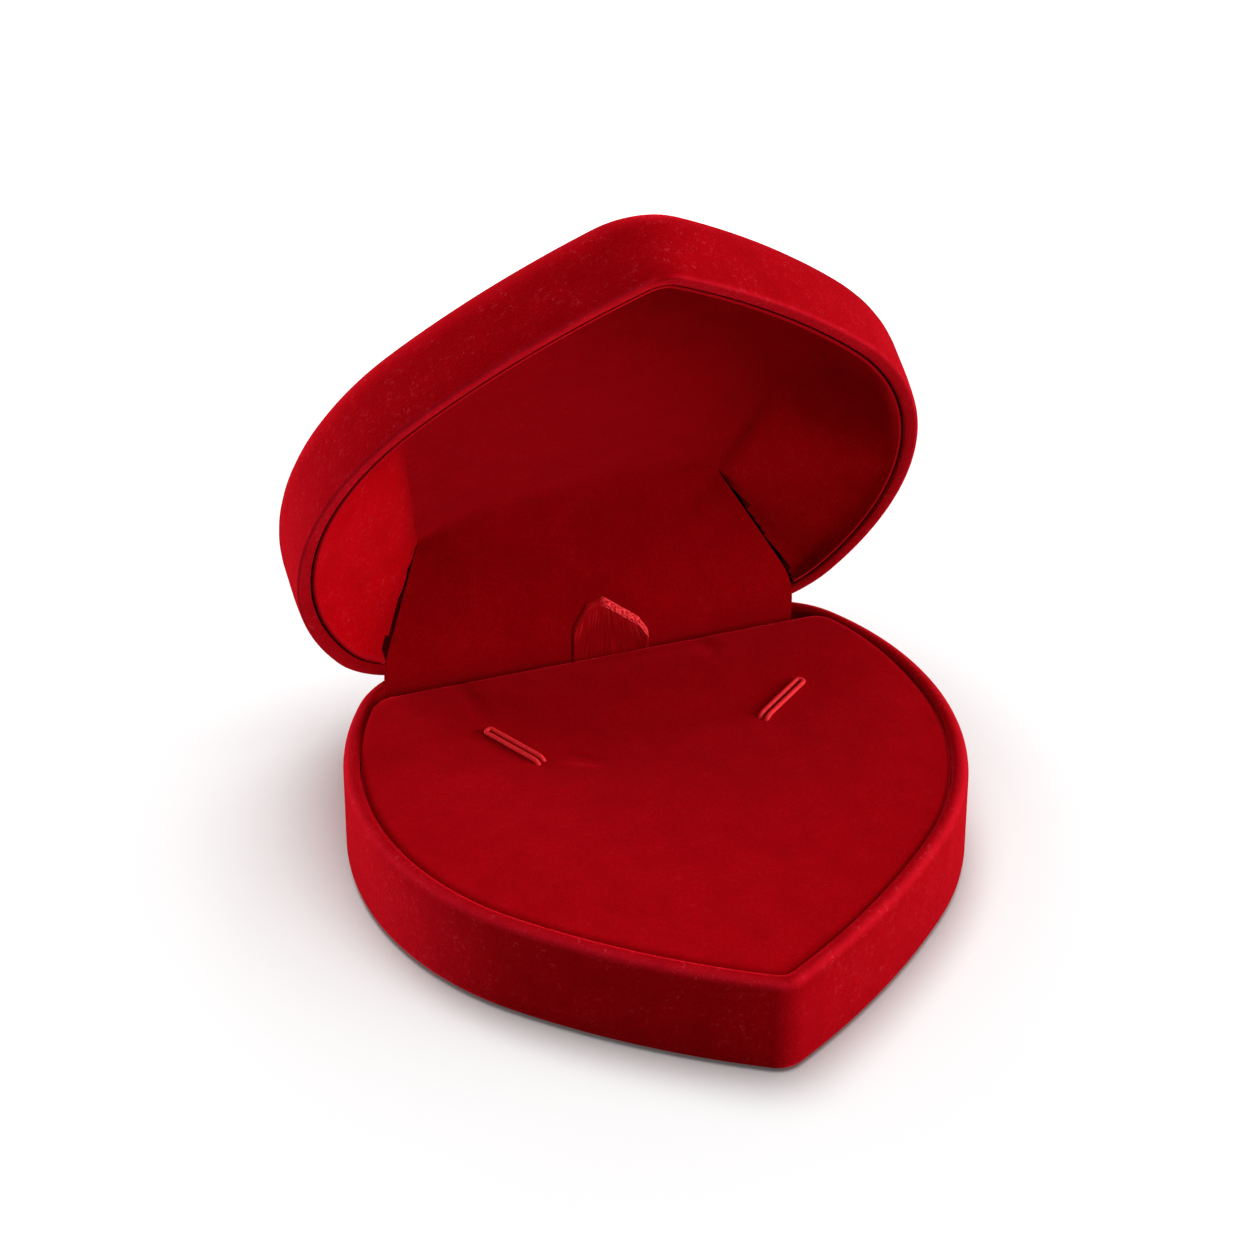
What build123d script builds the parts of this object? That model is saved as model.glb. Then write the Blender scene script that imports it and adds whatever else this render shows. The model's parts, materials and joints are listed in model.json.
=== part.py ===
"""Heart-shaped velvet jewellery box, standing open on its snap hinge.

X runs across the heart, -Y points to its tip, +Y to the hinge, and Z is up.
The origin is on the underside of the base. Lengths are in millimetres, angles in degrees.
The lid is drawn in the closed box's own coordinates, on planes that are turned open about the hinge.
"""
import os
from math import asin, cos, degrees, radians, sin, sqrt

from build123d import *

# Heart outline of the base
base_width = 115.0
tip_reach = 56.0
tip_angle = 28.2
side_end_angle = 46.2
side_end_share = 0.713
lobe_angle = 33.5
lobe_radius = 18.0
cleft_depth = 3.8
tip_radius = 6.0
tip_least_radius = 1.0

# Base tray and its cloth
base_height = 20.0
velvet = 0.6
base_wall = 1.9
base_floor = 1.5
rim_round = 1.4
rim_inner_round = 1.1
foot_round = 1.8
lip_depth = 6.0
hem_width = 7.0
hem_gap = 0.3
panel_proud = 0.2

# Lid
lid_height = 18.5
lid_overhang = 2.5
lid_wall = 1.3
lid_round = 4.5
lid_gap = 0.2
lid_rim_round = 1.0
open_angle = 66.0
dish_round = 12.0
lining_card = 0.8
lining_gap = 0.2
lining_recess = 1.0

# Snap hinge
axis_drop = 2.0
lobe_behind_axis = 1.2
leaf_thickness = 0.7
leaf_width = 26.0
base_leaf_height = 11.0
lid_leaf_height = 11.0
knuckle_radius = 1.6
lid_knuckle_width = 8.0
knuckle_gap = 0.2
pin_radius = 0.7
pin_clearance = 0.05
pin_head = 0.6
spring_thickness = 0.4
spring_width = 7.0
spring_gap = 0.15
notch_margin = 1.4
rivet_radius = 1.2
rivet_pitch = 18.0
rivet_clearance = 0.05

# Hinge flap
flap_thickness = 0.6
flap_bend = 2.0
flap_knee_rise = 5.5
flap_knee_width = 82.4
flap_foot_width = 81.0
flap_fold_width = 60.6
flap_foot_depth = 9.0
flap_fold_reach = 20.0
slit_width = 0.8
backing_thickness = 1.0
backing_margin = 5.0

# Necklace pad
pad_gap = 0.4
pad_sink = 0.2
pad_height = 9.6
pad_round = 3.0
pad_corner = 3.0
pad_crown = 0.8
board_thickness = 1.5
riser_inset = 1.5
riser_thickness = 1.5
seat_gap = 0.1

# Chain loops and their patches
cord_diameter = 0.9
cord_spacing = 1.45
cord_clearance = 0.2
cord_turn = 0.7
cord_bend = 1.2
loop_x = 21.0
loop_back = 37.9
left_loop_length = 14.8
left_loop_angle = 121.0
right_loop_length = 15.0
right_loop_angle = 38.0
patch_length = 12.0
patch_width = 7.0
patch_thickness = 0.3

# Ribbon pull tab
ribbon_thickness = 0.4
ribbon_width = 15.0
ribbon_fold_gap = 0.2
ribbon_rise = 11.5
ribbon_offset = 1.5

# Heart arcs: side, shoulder, lobe and cleft, with their centres
half_width = base_width / 2
side_run = side_end_share * half_width
side_radius = side_run / (sin(radians(side_end_angle)) - sin(radians(tip_angle)))
shoulder_radius = (half_width - side_run) / (1 - sin(radians(side_end_angle)))
side_center = Vector(
    -side_radius * sin(radians(tip_angle)),
    side_radius * cos(radians(tip_angle)) - tip_reach,
)
shoulder_center = side_center + Vector(
    (side_radius - shoulder_radius) * sin(radians(side_end_angle)),
    -(side_radius - shoulder_radius) * cos(radians(side_end_angle)),
)
lobe_center = shoulder_center + Vector(
    (shoulder_radius - lobe_radius) * cos(radians(lobe_angle)),
    (shoulder_radius - lobe_radius) * sin(radians(lobe_angle)),
)
lobe_top = lobe_center.Y + lobe_radius
cleft_y = lobe_top - cleft_depth
cleft_radius = (lobe_center.X**2 - 2 * lobe_radius * cleft_depth + cleft_depth**2) / (2 * cleft_depth)
cleft_center = Vector(0, cleft_y + cleft_radius)
cleft_half_angle = degrees(asin(lobe_center.X / (lobe_radius + cleft_radius)))

# Levels of the base and the pad
rim_width = velvet + base_wall + velvet
shell_bottom = panel_proud + velvet
floor_top = shell_bottom + base_floor
pad_top = base_height - pad_sink
pad_bottom = pad_top - pad_height
board_top = pad_bottom + velvet + board_thickness

# Crown of the pad, a shallow dome over its middle
crown_radius = half_width**2 / (2 * pad_crown)
patch_bottom = pad_bottom + velvet - patch_thickness
slit_front = cord_diameter / 2 + cord_clearance
slit_back = cord_bend - cord_clearance / 2
slit_half_width = cord_spacing / 2 + cord_diameter / 2 + cord_clearance
loop_y = lobe_center.Y + lobe_radius - loop_back

# Hinge axis, and the stack of pieces between the cleft's wall and the pad
axis_y = lobe_top - lobe_behind_axis
axis_z = base_height - axis_drop
shell_inner_y = cleft_y - velvet - base_wall
spring_front = shell_inner_y - spring_thickness
leaf_front = spring_front - leaf_thickness
flap_back = leaf_front - seat_gap
flap_front = flap_back - flap_thickness
ribbon_depth = 2 * ribbon_thickness + ribbon_fold_gap
ribbon_front = flap_front - seat_gap - ribbon_depth
pad_rear = ribbon_front - seat_gap
notch_width = leaf_width + 2 * notch_margin
notch_sag = cleft_radius - sqrt(cleft_radius**2 - notch_width**2 / 4)
notch_floor = axis_z - knuckle_radius - spring_thickness
leaf_top = axis_z - knuckle_radius + leaf_thickness
leaf_foot = leaf_top - base_leaf_height
hole_radius = pin_radius + pin_clearance
backing_reach = leaf_front + backing_thickness - lobe_center.Y
backing_lobe = lobe_radius - velvet - base_wall
backing_half_width = lobe_center.X + sqrt(backing_lobe**2 - backing_reach**2) - backing_margin
lip_floor = base_height - lip_depth

# Lid levels, as they are when the box is closed
lid_rim = base_height + lid_gap
lid_top = lid_rim + lid_height
lid_ceiling = lid_top - velvet - lid_wall
dish_bottom = lid_rim + lining_recess
lid_inner_y = cleft_y + lid_overhang - velvet - lid_wall
lid_leaf_front = lid_inner_y - leaf_thickness
lid_leaf_foot = axis_z + knuckle_radius - leaf_thickness
lid_leaf_top = lid_leaf_foot + lid_leaf_height
lid_rivet_z = (lid_rim + lid_leaf_top) / 2
lid_notch_top = axis_z + knuckle_radius + notch_margin

# Inset of the lid's inner lip, and of the dished lining
lid_shell_inset = velvet - lid_overhang
lid_lip_inset = lid_shell_inset + lid_wall + velvet
lining_inset = lid_lip_inset + lining_gap
fold_y = axis_y - flap_fold_reach
fold_z = lid_ceiling - lining_card - velvet
flap_middle = flap_back - flap_thickness / 2
flap_foot = base_height - flap_foot_depth
flap_knee = base_height + flap_knee_rise
ribbon_top = base_height + ribbon_rise


def level(height):
    """Level plane of the base, at a height over the table."""
    return Plane((0, 0, height))


def opened(y, z):
    """Place, on the open lid, of a point that is given on the closed box."""
    turn = radians(open_angle)
    ahead = y - axis_y
    above = z - axis_z
    return Vector(
        0,
        axis_y + ahead * cos(turn) + above * sin(turn),
        axis_z - ahead * sin(turn) + above * cos(turn),
    )


flap_end = opened(fold_y + slit_width, fold_z + velvet / 2)
lid_up = opened(0, 1) - opened(0, 0)
lid_back = opened(1, 0) - opened(0, 0)
lid_axis = Axis(opened(0, 0), lid_up)
lid_side = Plane(opened(0, 0), x_dir=lid_back, z_dir=(1, 0, 0))
lid_wall_plane = Plane(opened(lid_leaf_front, 0), x_dir=(1, 0, 0), z_dir=-lid_back)


def lid_level(height):
    """Plane of the open lid, at the height that it has over the table when closed."""
    return Plane(opened(0, height), x_dir=(1, 0, 0), z_dir=lid_up)


def heart(inset):
    """Heart face whose outline lies inside the base's outer line by the inset."""
    side_start = degrees(asin(-side_center.X / (side_radius - inset))) - 90
    side_stop = side_end_angle - 90
    with BuildSketch() as face:
        with BuildLine():
            CenterArc(side_center, side_radius - inset, side_start, side_stop - side_start)
            CenterArc(shoulder_center, shoulder_radius - inset, side_stop, lobe_angle - side_stop)
            CenterArc(lobe_center, lobe_radius - inset, lobe_angle, 90 + cleft_half_angle - lobe_angle)
            mirror(about=Plane.YZ)
            CenterArc(cleft_center, cleft_radius + inset, -90 - cleft_half_angle, 2 * cleft_half_angle)
        make_face()
        tip = face.vertices().sort_by(Axis.Y)[0]
        fillet(tip, max(tip_radius - inset, tip_least_radius))
    return face.sketch


def pad_heart(inset):
    """Heart face of the pad, cut straight at its rear, drawn in by the inset."""
    with BuildSketch() as face:
        add(heart(rim_width + pad_gap + inset))
        with Locations((0, pad_rear - inset)):
            Rectangle(base_width, base_width, align=(Align.CENTER, Align.MIN), mode=Mode.SUBTRACT)
        offset(amount=-pad_corner)
        offset(amount=pad_corner)
    return face.sketch


def finish(part, name):
    """Name a finished piece and write it out."""
    part.label = name
    export_step(part, f"parts/{name}.step")


os.makedirs("parts", exist_ok=True)

# Plain tray, before the hinge is let into it
with BuildPart() as tray:
    with BuildSketch(level(shell_bottom)):
        add(heart(velvet))
    extrude(amount=base_height - velvet - shell_bottom)
    fillet(tray.faces().sort_by(Axis.Z)[-1].edges(), rim_round - velvet)
    fillet(tray.faces().sort_by(Axis.Z)[0].edges(), foot_round - velvet)
    with BuildSketch(level(floor_top)):
        add(heart(velvet + base_wall))
    extrude(amount=base_height, mode=Mode.SUBTRACT)

# Base tray, with the hinge's notch and rivet holes in the cleft
with BuildPart() as base_shell:
    add(tray.part)
    with BuildSketch(level(notch_floor)):
        with Locations((0, pad_rear)):
            Rectangle(notch_width, base_width, align=(Align.CENTER, Align.MIN))
    extrude(amount=base_height, mode=Mode.SUBTRACT)
    with BuildSketch(Plane.XZ.offset(-leaf_front)):
        with Locations((0, (leaf_foot + leaf_top) / 2)):
            with GridLocations(rivet_pitch, 0, 2, 1):
                Circle(rivet_radius + rivet_clearance)
    extrude(amount=-base_width, mode=Mode.SUBTRACT)
finish(base_shell.part, "base_shell")

# Velvet drawn over the tray: outside, over the rim, a lip inside and a hem underneath
with BuildPart() as base_velvet:
    with BuildSketch(level(panel_proud)):
        add(heart(0))
    extrude(amount=base_height - panel_proud)
    with BuildSketch(level(floor_top)):
        add(heart(rim_width))
    extrude(amount=base_height, mode=Mode.SUBTRACT)
    fillet(base_velvet.faces().sort_by(Axis.Z)[-1].outer_wire().edges(), rim_round)
    fillet(base_velvet.faces().sort_by(Axis.Z)[-1].inner_wires()[0].edges(), rim_inner_round)
    fillet(base_velvet.faces().sort_by(Axis.Z)[0].edges(), foot_round)
    with BuildSketch(level(shell_bottom)):
        add(heart(velvet + base_wall))
    extrude(amount=lip_floor - shell_bottom, mode=Mode.SUBTRACT)
    with BuildSketch(level(0)):
        add(heart(hem_width))
    extrude(amount=base_height, mode=Mode.SUBTRACT)
    add(tray.part, mode=Mode.SUBTRACT)
    with BuildSketch(level(notch_floor)):
        with Locations((0, pad_rear)):
            Rectangle(notch_width, base_width, align=(Align.CENTER, Align.MIN))
    extrude(amount=base_height, mode=Mode.SUBTRACT)
    with BuildSketch(level(floor_top)):
        with Locations((0, pad_rear)):
            Rectangle(notch_width, shell_inner_y + notch_sag - pad_rear, align=(Align.CENTER, Align.MIN))
    extrude(amount=base_height, mode=Mode.SUBTRACT)
finish(base_velvet.part, "base_velvet")

# Card panel glued under the base, inside the hem, which the box stands on
with BuildPart() as base_bottom_panel:
    with BuildSketch(level(0)):
        add(heart(hem_width + hem_gap))
    extrude(amount=shell_bottom)
finish(base_bottom_panel.part, "base_bottom_panel")

# Card ring that carries the pad
with BuildPart() as pad_riser:
    with BuildSketch(level(floor_top)):
        add(pad_heart(riser_inset))
        add(pad_heart(riser_inset + riser_thickness), mode=Mode.SUBTRACT)
    extrude(amount=pad_bottom - floor_top)
finish(pad_riser.part, "pad_riser")

# Card strip behind the pad, which the flap's foot is glued to
with BuildPart() as rear_backing:
    with BuildSketch(Plane.XZ.offset(-leaf_front)):
        with Locations((0, floor_top)):
            Rectangle(2 * backing_half_width, lip_floor - floor_top, align=(Align.CENTER, Align.MIN))
        with Locations((0, leaf_foot - seat_gap)):
            Rectangle(
                leaf_width + 2 * seat_gap,
                base_height,
                align=(Align.CENTER, Align.MIN),
                mode=Mode.SUBTRACT,
            )
    extrude(amount=-backing_thickness)
finish(rear_backing.part, "rear_backing")

# Base leaf of the hinge: a plate inside the wall and two knuckles on arms through the notch
with BuildPart() as hinge_base_leaf:
    with BuildSketch(Plane.XZ.offset(-leaf_front)):
        with Locations((0, leaf_foot)):
            Rectangle(leaf_width, base_leaf_height, align=(Align.CENTER, Align.MIN))
        with Locations((0, (leaf_foot + leaf_top) / 2)):
            with GridLocations(rivet_pitch, 0, 2, 1):
                Circle(rivet_radius + rivet_clearance, mode=Mode.SUBTRACT)
    extrude(amount=-leaf_thickness)
    with BuildSketch(Plane.YZ.offset(lid_knuckle_width / 2 + knuckle_gap)):
        with Locations((axis_y, axis_z)):
            Circle(knuckle_radius)
        with Locations((leaf_front, leaf_top)):
            Rectangle(axis_y - leaf_front, leaf_thickness, align=(Align.MIN, Align.MAX))
        with Locations((axis_y, axis_z)):
            Circle(hole_radius, mode=Mode.SUBTRACT)
    extrude(amount=(leaf_width - lid_knuckle_width) / 2 - knuckle_gap)
    mirror(about=Plane.YZ)
finish(hinge_base_leaf.part, "hinge_base_leaf")

# Lid leaf of the hinge: a plate inside the lid's wall and the middle knuckle
with BuildPart() as hinge_lid_leaf:
    with BuildSketch(lid_side.offset(-leaf_width / 2)):
        with Locations((lid_leaf_front, lid_rim)):
            Rectangle(leaf_thickness, lid_leaf_top - lid_rim, align=(Align.MIN, Align.MIN))
    extrude(amount=leaf_width)
    with BuildSketch(lid_side.offset(-lid_knuckle_width / 2)):
        with Locations((lid_leaf_front, lid_leaf_foot)):
            Rectangle(leaf_thickness, lid_leaf_height, align=(Align.MIN, Align.MIN))
        with Locations((axis_y, axis_z)):
            Circle(knuckle_radius)
        with Locations((lid_leaf_front, lid_leaf_foot)):
            Rectangle(axis_y - lid_leaf_front, leaf_thickness, align=(Align.MIN, Align.MIN))
        with Locations((axis_y, axis_z)):
            Circle(hole_radius, mode=Mode.SUBTRACT)
    extrude(amount=lid_knuckle_width)
    with BuildSketch(lid_wall_plane):
        with Locations((0, lid_rivet_z)):
            with GridLocations(rivet_pitch, 0, 2, 1):
                Circle(rivet_radius + rivet_clearance)
    extrude(amount=-base_width, both=True, mode=Mode.SUBTRACT)
finish(hinge_lid_leaf.part, "hinge_lid_leaf")

# Hinge pin with two upset heads
with BuildPart() as hinge_pin:
    with BuildSketch(Plane.YZ.offset(-leaf_width / 2 - knuckle_gap)):
        with Locations((axis_y, axis_z)):
            Circle(pin_radius)
    extrude(amount=leaf_width + 2 * knuckle_gap)
    with BuildSketch(Plane.YZ.offset(leaf_width / 2 + knuckle_gap)):
        with Locations((axis_y, axis_z)):
            Circle(knuckle_radius - pin_clearance)
    extrude(amount=pin_head)
    with BuildSketch(Plane.YZ.offset(-leaf_width / 2 - knuckle_gap)):
        with Locations((axis_y, axis_z)):
            Circle(knuckle_radius - pin_clearance)
    extrude(amount=-pin_head)
finish(hinge_pin.part, "hinge_pin")

# Flat spring behind the base leaf, bent back to bear on the lid's knuckle
with BuildPart() as snap_spring:
    with BuildSketch(Plane.YZ.offset(-spring_width / 2)):
        with BuildLine():
            spine = FilletPolyline(
                (spring_front + spring_thickness / 2, leaf_foot + spring_thickness),
                (spring_front + spring_thickness / 2, notch_floor + spring_thickness),
                (axis_y - knuckle_radius - spring_gap - spring_thickness / 2, axis_z),
                radius=spring_thickness,
            )
            offset(spine, amount=spring_thickness / 2, side=Side.BOTH, kind=Kind.ARC)
        make_face()
    extrude(amount=spring_width)
finish(snap_spring.part, "snap_spring")

# Flush rivets through the base leaf and the tray's wall
with BuildPart() as base_rivets:
    with BuildSketch(Plane.XZ.offset(-leaf_front)):
        with Locations((0, (leaf_foot + leaf_top) / 2)):
            with GridLocations(rivet_pitch, 0, 2, 1):
                Circle(rivet_radius)
    extrude(amount=-(cleft_y - velvet - leaf_front))
finish(base_rivets.part, "base_rivets")

# Flush rivets through the lid leaf and the lid's wall
with BuildPart() as lid_rivets:
    with BuildSketch(lid_wall_plane):
        with Locations((0, lid_rivet_z)):
            with GridLocations(rivet_pitch, 0, 2, 1):
                Circle(rivet_radius)
    extrude(amount=-(leaf_thickness + lid_wall))
finish(lid_rivets.part, "lid_rivets")

# Plain lid, before the hinge is let into it
with BuildPart() as cap:
    with BuildSketch(lid_level(lid_rim + velvet)):
        add(heart(lid_shell_inset))
    extrude(amount=lid_height - 2 * velvet)
    fillet(cap.faces().sort_by(lid_axis)[-1].edges(), lid_round - velvet)
    with BuildSketch(lid_level(lid_rim)):
        add(heart(lid_shell_inset + lid_wall))
    extrude(amount=lid_ceiling - lid_rim, mode=Mode.SUBTRACT)

# Lid shell, with the hinge's notch and rivet holes
with BuildPart() as lid_shell:
    add(cap.part)
    with BuildSketch(lid_level(lid_rim)):
        with Locations((0, fold_y)):
            Rectangle(notch_width, base_width, align=(Align.CENTER, Align.MIN))
    extrude(amount=lid_notch_top - lid_rim, mode=Mode.SUBTRACT)
    with BuildSketch(lid_wall_plane):
        with Locations((0, lid_rivet_z)):
            with GridLocations(rivet_pitch, 0, 2, 1):
                Circle(rivet_radius + rivet_clearance)
    extrude(amount=-base_width, mode=Mode.SUBTRACT)
finish(lid_shell.part, "lid_shell")

# Velvet drawn over the lid: top, sides, rim and a lip inside
with BuildPart() as lid_velvet:
    with BuildSketch(lid_level(lid_rim)):
        add(heart(-lid_overhang))
    extrude(amount=lid_height)
    fillet(lid_velvet.faces().sort_by(lid_axis)[-1].edges(), lid_round)
    with BuildSketch(lid_level(lid_rim)):
        add(heart(lid_lip_inset))
    extrude(amount=lip_depth, mode=Mode.SUBTRACT)
    fillet(lid_velvet.faces().sort_by(lid_axis)[0].outer_wire().edges(), lid_rim_round)
    fillet(lid_velvet.faces().sort_by(lid_axis)[0].inner_wires()[0].edges(), lid_rim_round)
    with BuildSketch(lid_level(lid_rim + lip_depth)):
        add(heart(lid_shell_inset + lid_wall))
    extrude(amount=lid_ceiling - lid_rim - lip_depth, mode=Mode.SUBTRACT)
    add(cap.part, mode=Mode.SUBTRACT)
    with BuildSketch(lid_level(lid_rim)):
        with Locations((0, fold_y)):
            Rectangle(notch_width, base_width, align=(Align.CENTER, Align.MIN))
    extrude(amount=lid_notch_top - lid_rim, mode=Mode.SUBTRACT)
    with BuildSketch(lid_level(lid_rim)):
        with Locations((0, fold_y)):
            Rectangle(notch_width, lid_inner_y + notch_sag - fold_y, align=(Align.CENTER, Align.MIN))
    extrude(amount=lid_ceiling - lid_rim, mode=Mode.SUBTRACT)
finish(lid_velvet.part, "lid_velvet")


def dish(inset, ceiling, rounding):
    """Solid heart with a deeply rounded top, the hollow side of a dished lining."""
    with BuildPart() as block:
        with BuildSketch(lid_level(dish_bottom)):
            add(heart(inset))
        extrude(amount=ceiling - dish_bottom)
        fillet(block.faces().sort_by(lid_axis)[-1].edges(), rounding)
    return block.part


# Cut-out of the lining, where its tongue is slit free and bent down to the base
with BuildPart() as tongue_cut:
    with BuildSketch(lid_level(dish_bottom)):
        with BuildLine():
            Polyline(
                (-flap_fold_width / 2 - slit_width, fold_y),
                (flap_fold_width / 2 + slit_width, fold_y),
                (flap_knee_width / 2 + slit_width, lobe_top),
                (-flap_knee_width / 2 - slit_width, lobe_top),
                close=True,
            )
        make_face()
    extrude(amount=lid_height)

# Card of the lid's dished lining
with BuildPart() as lid_lining_card:
    add(dish(lining_inset, lid_ceiling, dish_round))
    add(
        dish(lining_inset + lining_card, lid_ceiling - lining_card, dish_round - lining_card),
        mode=Mode.SUBTRACT,
    )
    add(tongue_cut.part, mode=Mode.SUBTRACT)
finish(lid_lining_card.part, "lid_lining_card")

# Velvet face of the lid's dished lining
with BuildPart() as lid_lining_velvet:
    add(dish(lining_inset + lining_card, lid_ceiling - lining_card, dish_round - lining_card))
    add(
        dish(lining_inset + lining_card + velvet, fold_z, dish_round - lining_card - velvet),
        mode=Mode.SUBTRACT,
    )
    add(tongue_cut.part, mode=Mode.SUBTRACT)
finish(lid_lining_velvet.part, "lid_lining_velvet")

# Hinge flap: the tongue of the lid's lining, drawn taut down to the back of the base
with BuildPart() as hinge_flap:
    with BuildSketch(Plane.YZ.offset(-flap_knee_width / 2)):
        with BuildLine():
            spine = FilletPolyline(
                (flap_middle, flap_foot),
                (flap_middle, flap_knee),
                (flap_end.Y, flap_end.Z),
                radius=flap_bend,
            )
            offset(spine, amount=flap_thickness / 2, side=Side.BOTH, kind=Kind.ARC)
        make_face()
    extrude(amount=flap_knee_width)
    with BuildSketch(Plane.XZ) as flap_outline:
        with BuildLine():
            Polyline(
                (-flap_foot_width / 2, flap_foot - flap_thickness),
                (flap_foot_width / 2, flap_foot - flap_thickness),
                (flap_knee_width / 2, flap_knee),
                (flap_fold_width / 2, flap_end.Z + flap_thickness),
                (-flap_fold_width / 2, flap_end.Z + flap_thickness),
                (-flap_knee_width / 2, flap_knee),
                close=True,
            )
        make_face()
    extrude(amount=-base_width, both=True, mode=Mode.INTERSECT)
finish(hinge_flap.part, "hinge_flap")


def loop_slits():
    """Both slits of the pad, one at the root of each chain loop."""
    with BuildSketch() as slits:
        for side, turn in ((-1, left_loop_angle), (1, right_loop_angle)):
            with Locations(Location((side * loop_x, loop_y, 0), turn)):
                with Locations(((slit_back - slit_front) / 2, 0)):
                    Rectangle(slit_back + slit_front, 2 * slit_half_width)
    return slits.sketch


def pad_block(inset, bottom, top, rounding):
    """Solid pad: a straight-backed heart with a low crown and rounded shoulders."""
    with BuildPart() as block:
        with BuildSketch(level(bottom)):
            add(pad_heart(inset))
        extrude(amount=top - bottom)
        with Locations((0, 0, top - crown_radius)):
            Sphere(crown_radius, mode=Mode.INTERSECT)
        fillet(block.faces().sort_by(Axis.Z)[-1].edges(), rounding)
    return block.part


# Card board of the pad
with BuildPart() as pad_board:
    with BuildSketch(level(pad_bottom + velvet)):
        add(pad_heart(velvet))
        add(loop_slits(), mode=Mode.SUBTRACT)
    extrude(amount=board_thickness)
finish(pad_board.part, "pad_board")

# Foam of the pad
with BuildPart() as pad_foam:
    add(pad_block(velvet, board_top, pad_top - velvet, pad_round - velvet))
    with BuildSketch(level(pad_bottom)):
        add(loop_slits())
    extrude(amount=base_height, mode=Mode.SUBTRACT)
finish(pad_foam.part, "pad_foam")

# Velvet cover of the pad, turned in under the board
with BuildPart() as pad_velvet:
    add(pad_block(0, pad_bottom, pad_top, pad_round))
    with BuildSketch(level(pad_bottom)):
        add(pad_heart(hem_width))
    extrude(amount=velvet, mode=Mode.SUBTRACT)
    with BuildSketch(level(pad_bottom + velvet)):
        add(pad_heart(velvet))
    extrude(amount=board_thickness, mode=Mode.SUBTRACT)
    add(pad_block(velvet, board_top, pad_top - velvet, pad_round - velvet), mode=Mode.SUBTRACT)
    with BuildSketch(level(pad_bottom)):
        add(loop_slits())
    extrude(amount=base_height, mode=Mode.SUBTRACT)
finish(pad_velvet.part, "pad_velvet")


def chain_loop(side, length, turn):
    """Elastic hairpin: up through the pad, along its top, round the end and back down."""
    root = Vector(side * loop_x, loop_y, pad_bottom + velvet)
    along = Vector(cos(radians(turn)), sin(radians(turn)))
    across = Vector(-sin(radians(turn)), cos(radians(turn))) * (cord_spacing / 2)
    crown_drop = (loop_x**2 + loop_y**2) / (2 * crown_radius)
    rise = Vector(0, 0, pad_top - crown_drop + cord_diameter / 2 + cord_clearance - root.Z)
    near = root + rise
    middle = near + along * (length / 2)
    far = near + along * length
    with BuildPart() as loop:
        with BuildLine() as route:
            FilletPolyline(root + across, near + across, middle + across, radius=cord_bend)
            FilletPolyline(middle + across, far + across, far - across, middle - across, radius=cord_turn)
            FilletPolyline(middle - across, near - across, root - across, radius=cord_bend)
        with BuildSketch(Plane(root + across)):
            Circle(cord_diameter / 2)
        sweep(path=route.wires()[0])
    return loop.part


# Elastic loops that hold a necklace chain on the pad
chain_loop_left = chain_loop(-1, left_loop_length, left_loop_angle)
finish(chain_loop_left, "chain_loop_left")
chain_loop_right = chain_loop(1, right_loop_length, right_loop_angle)
finish(chain_loop_right, "chain_loop_right")

# Gummed patches under the board that hold the ends of the loops
with BuildPart() as loop_patches:
    with BuildSketch(level(patch_bottom)):
        with Locations((-loop_x, loop_y), (loop_x, loop_y)):
            Rectangle(patch_length, patch_width)
    extrude(amount=patch_thickness)
finish(loop_patches.part, "loop_patches")

# Ribbon pull tab, folded over and glued to the rear of the pad
with BuildPart() as ribbon_tab:
    with BuildSketch(Plane.YZ.offset(ribbon_offset - ribbon_width / 2)):
        with Locations((ribbon_front, pad_bottom)):
            Rectangle(ribbon_depth, ribbon_top - pad_bottom, align=(Align.MIN, Align.MIN))
        with Locations((ribbon_front + ribbon_depth / 2, ribbon_top)):
            Circle(ribbon_depth / 2)
        with Locations((ribbon_front + ribbon_thickness, pad_bottom)):
            Rectangle(
                ribbon_fold_gap,
                ribbon_top - pad_bottom,
                align=(Align.MIN, Align.MIN),
                mode=Mode.SUBTRACT,
            )
    extrude(amount=ribbon_width)
finish(ribbon_tab.part, "ribbon_tab")

print("cord radius", cord_diameter / 2)
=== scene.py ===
"""Looks of the heart-shaped velvet jewellery box, built round its packed CAD frame.

X runs across the heart, -Y points to its tip, +Y to the hinge, and Z is up. Lengths are in metres.
Pieces of the lid are shaped as they lie on the closed box, and then turned open about the hinge.
"""

import json
from math import asin, atan2, cos, pi, radians, sin, sqrt

import bmesh
import bpy
from bpy.props import FloatProperty, FloatVectorProperty, PointerProperty
from bpy.types import Operator, Panel, PropertyGroup
from mathutils import Matrix, Vector, noise
from mathutils.bvhtree import BVHTree
from mathutils.geometry import intersect_point_line


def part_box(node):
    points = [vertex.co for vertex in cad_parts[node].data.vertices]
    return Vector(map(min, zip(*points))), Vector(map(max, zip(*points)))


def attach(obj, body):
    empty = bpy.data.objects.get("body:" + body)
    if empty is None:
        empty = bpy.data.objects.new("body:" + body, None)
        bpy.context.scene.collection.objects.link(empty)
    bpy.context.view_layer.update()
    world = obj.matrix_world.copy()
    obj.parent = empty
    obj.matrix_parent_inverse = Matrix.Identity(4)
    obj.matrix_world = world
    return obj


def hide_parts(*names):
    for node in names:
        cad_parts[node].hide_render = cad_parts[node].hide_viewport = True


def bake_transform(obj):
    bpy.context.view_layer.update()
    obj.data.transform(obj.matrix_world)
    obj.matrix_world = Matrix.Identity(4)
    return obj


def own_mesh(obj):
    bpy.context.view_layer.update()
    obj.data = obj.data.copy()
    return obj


bl_info = {
    "name": "Velvet Heart Box",
    "version": (1, 0, 0),
    "blender": (4, 5, 0),
    "location": "3D View > Sidebar > Heart Box",
    "description": "Builds the looks of a heart-shaped velvet jewellery box",
    "category": "Object",
}

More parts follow.
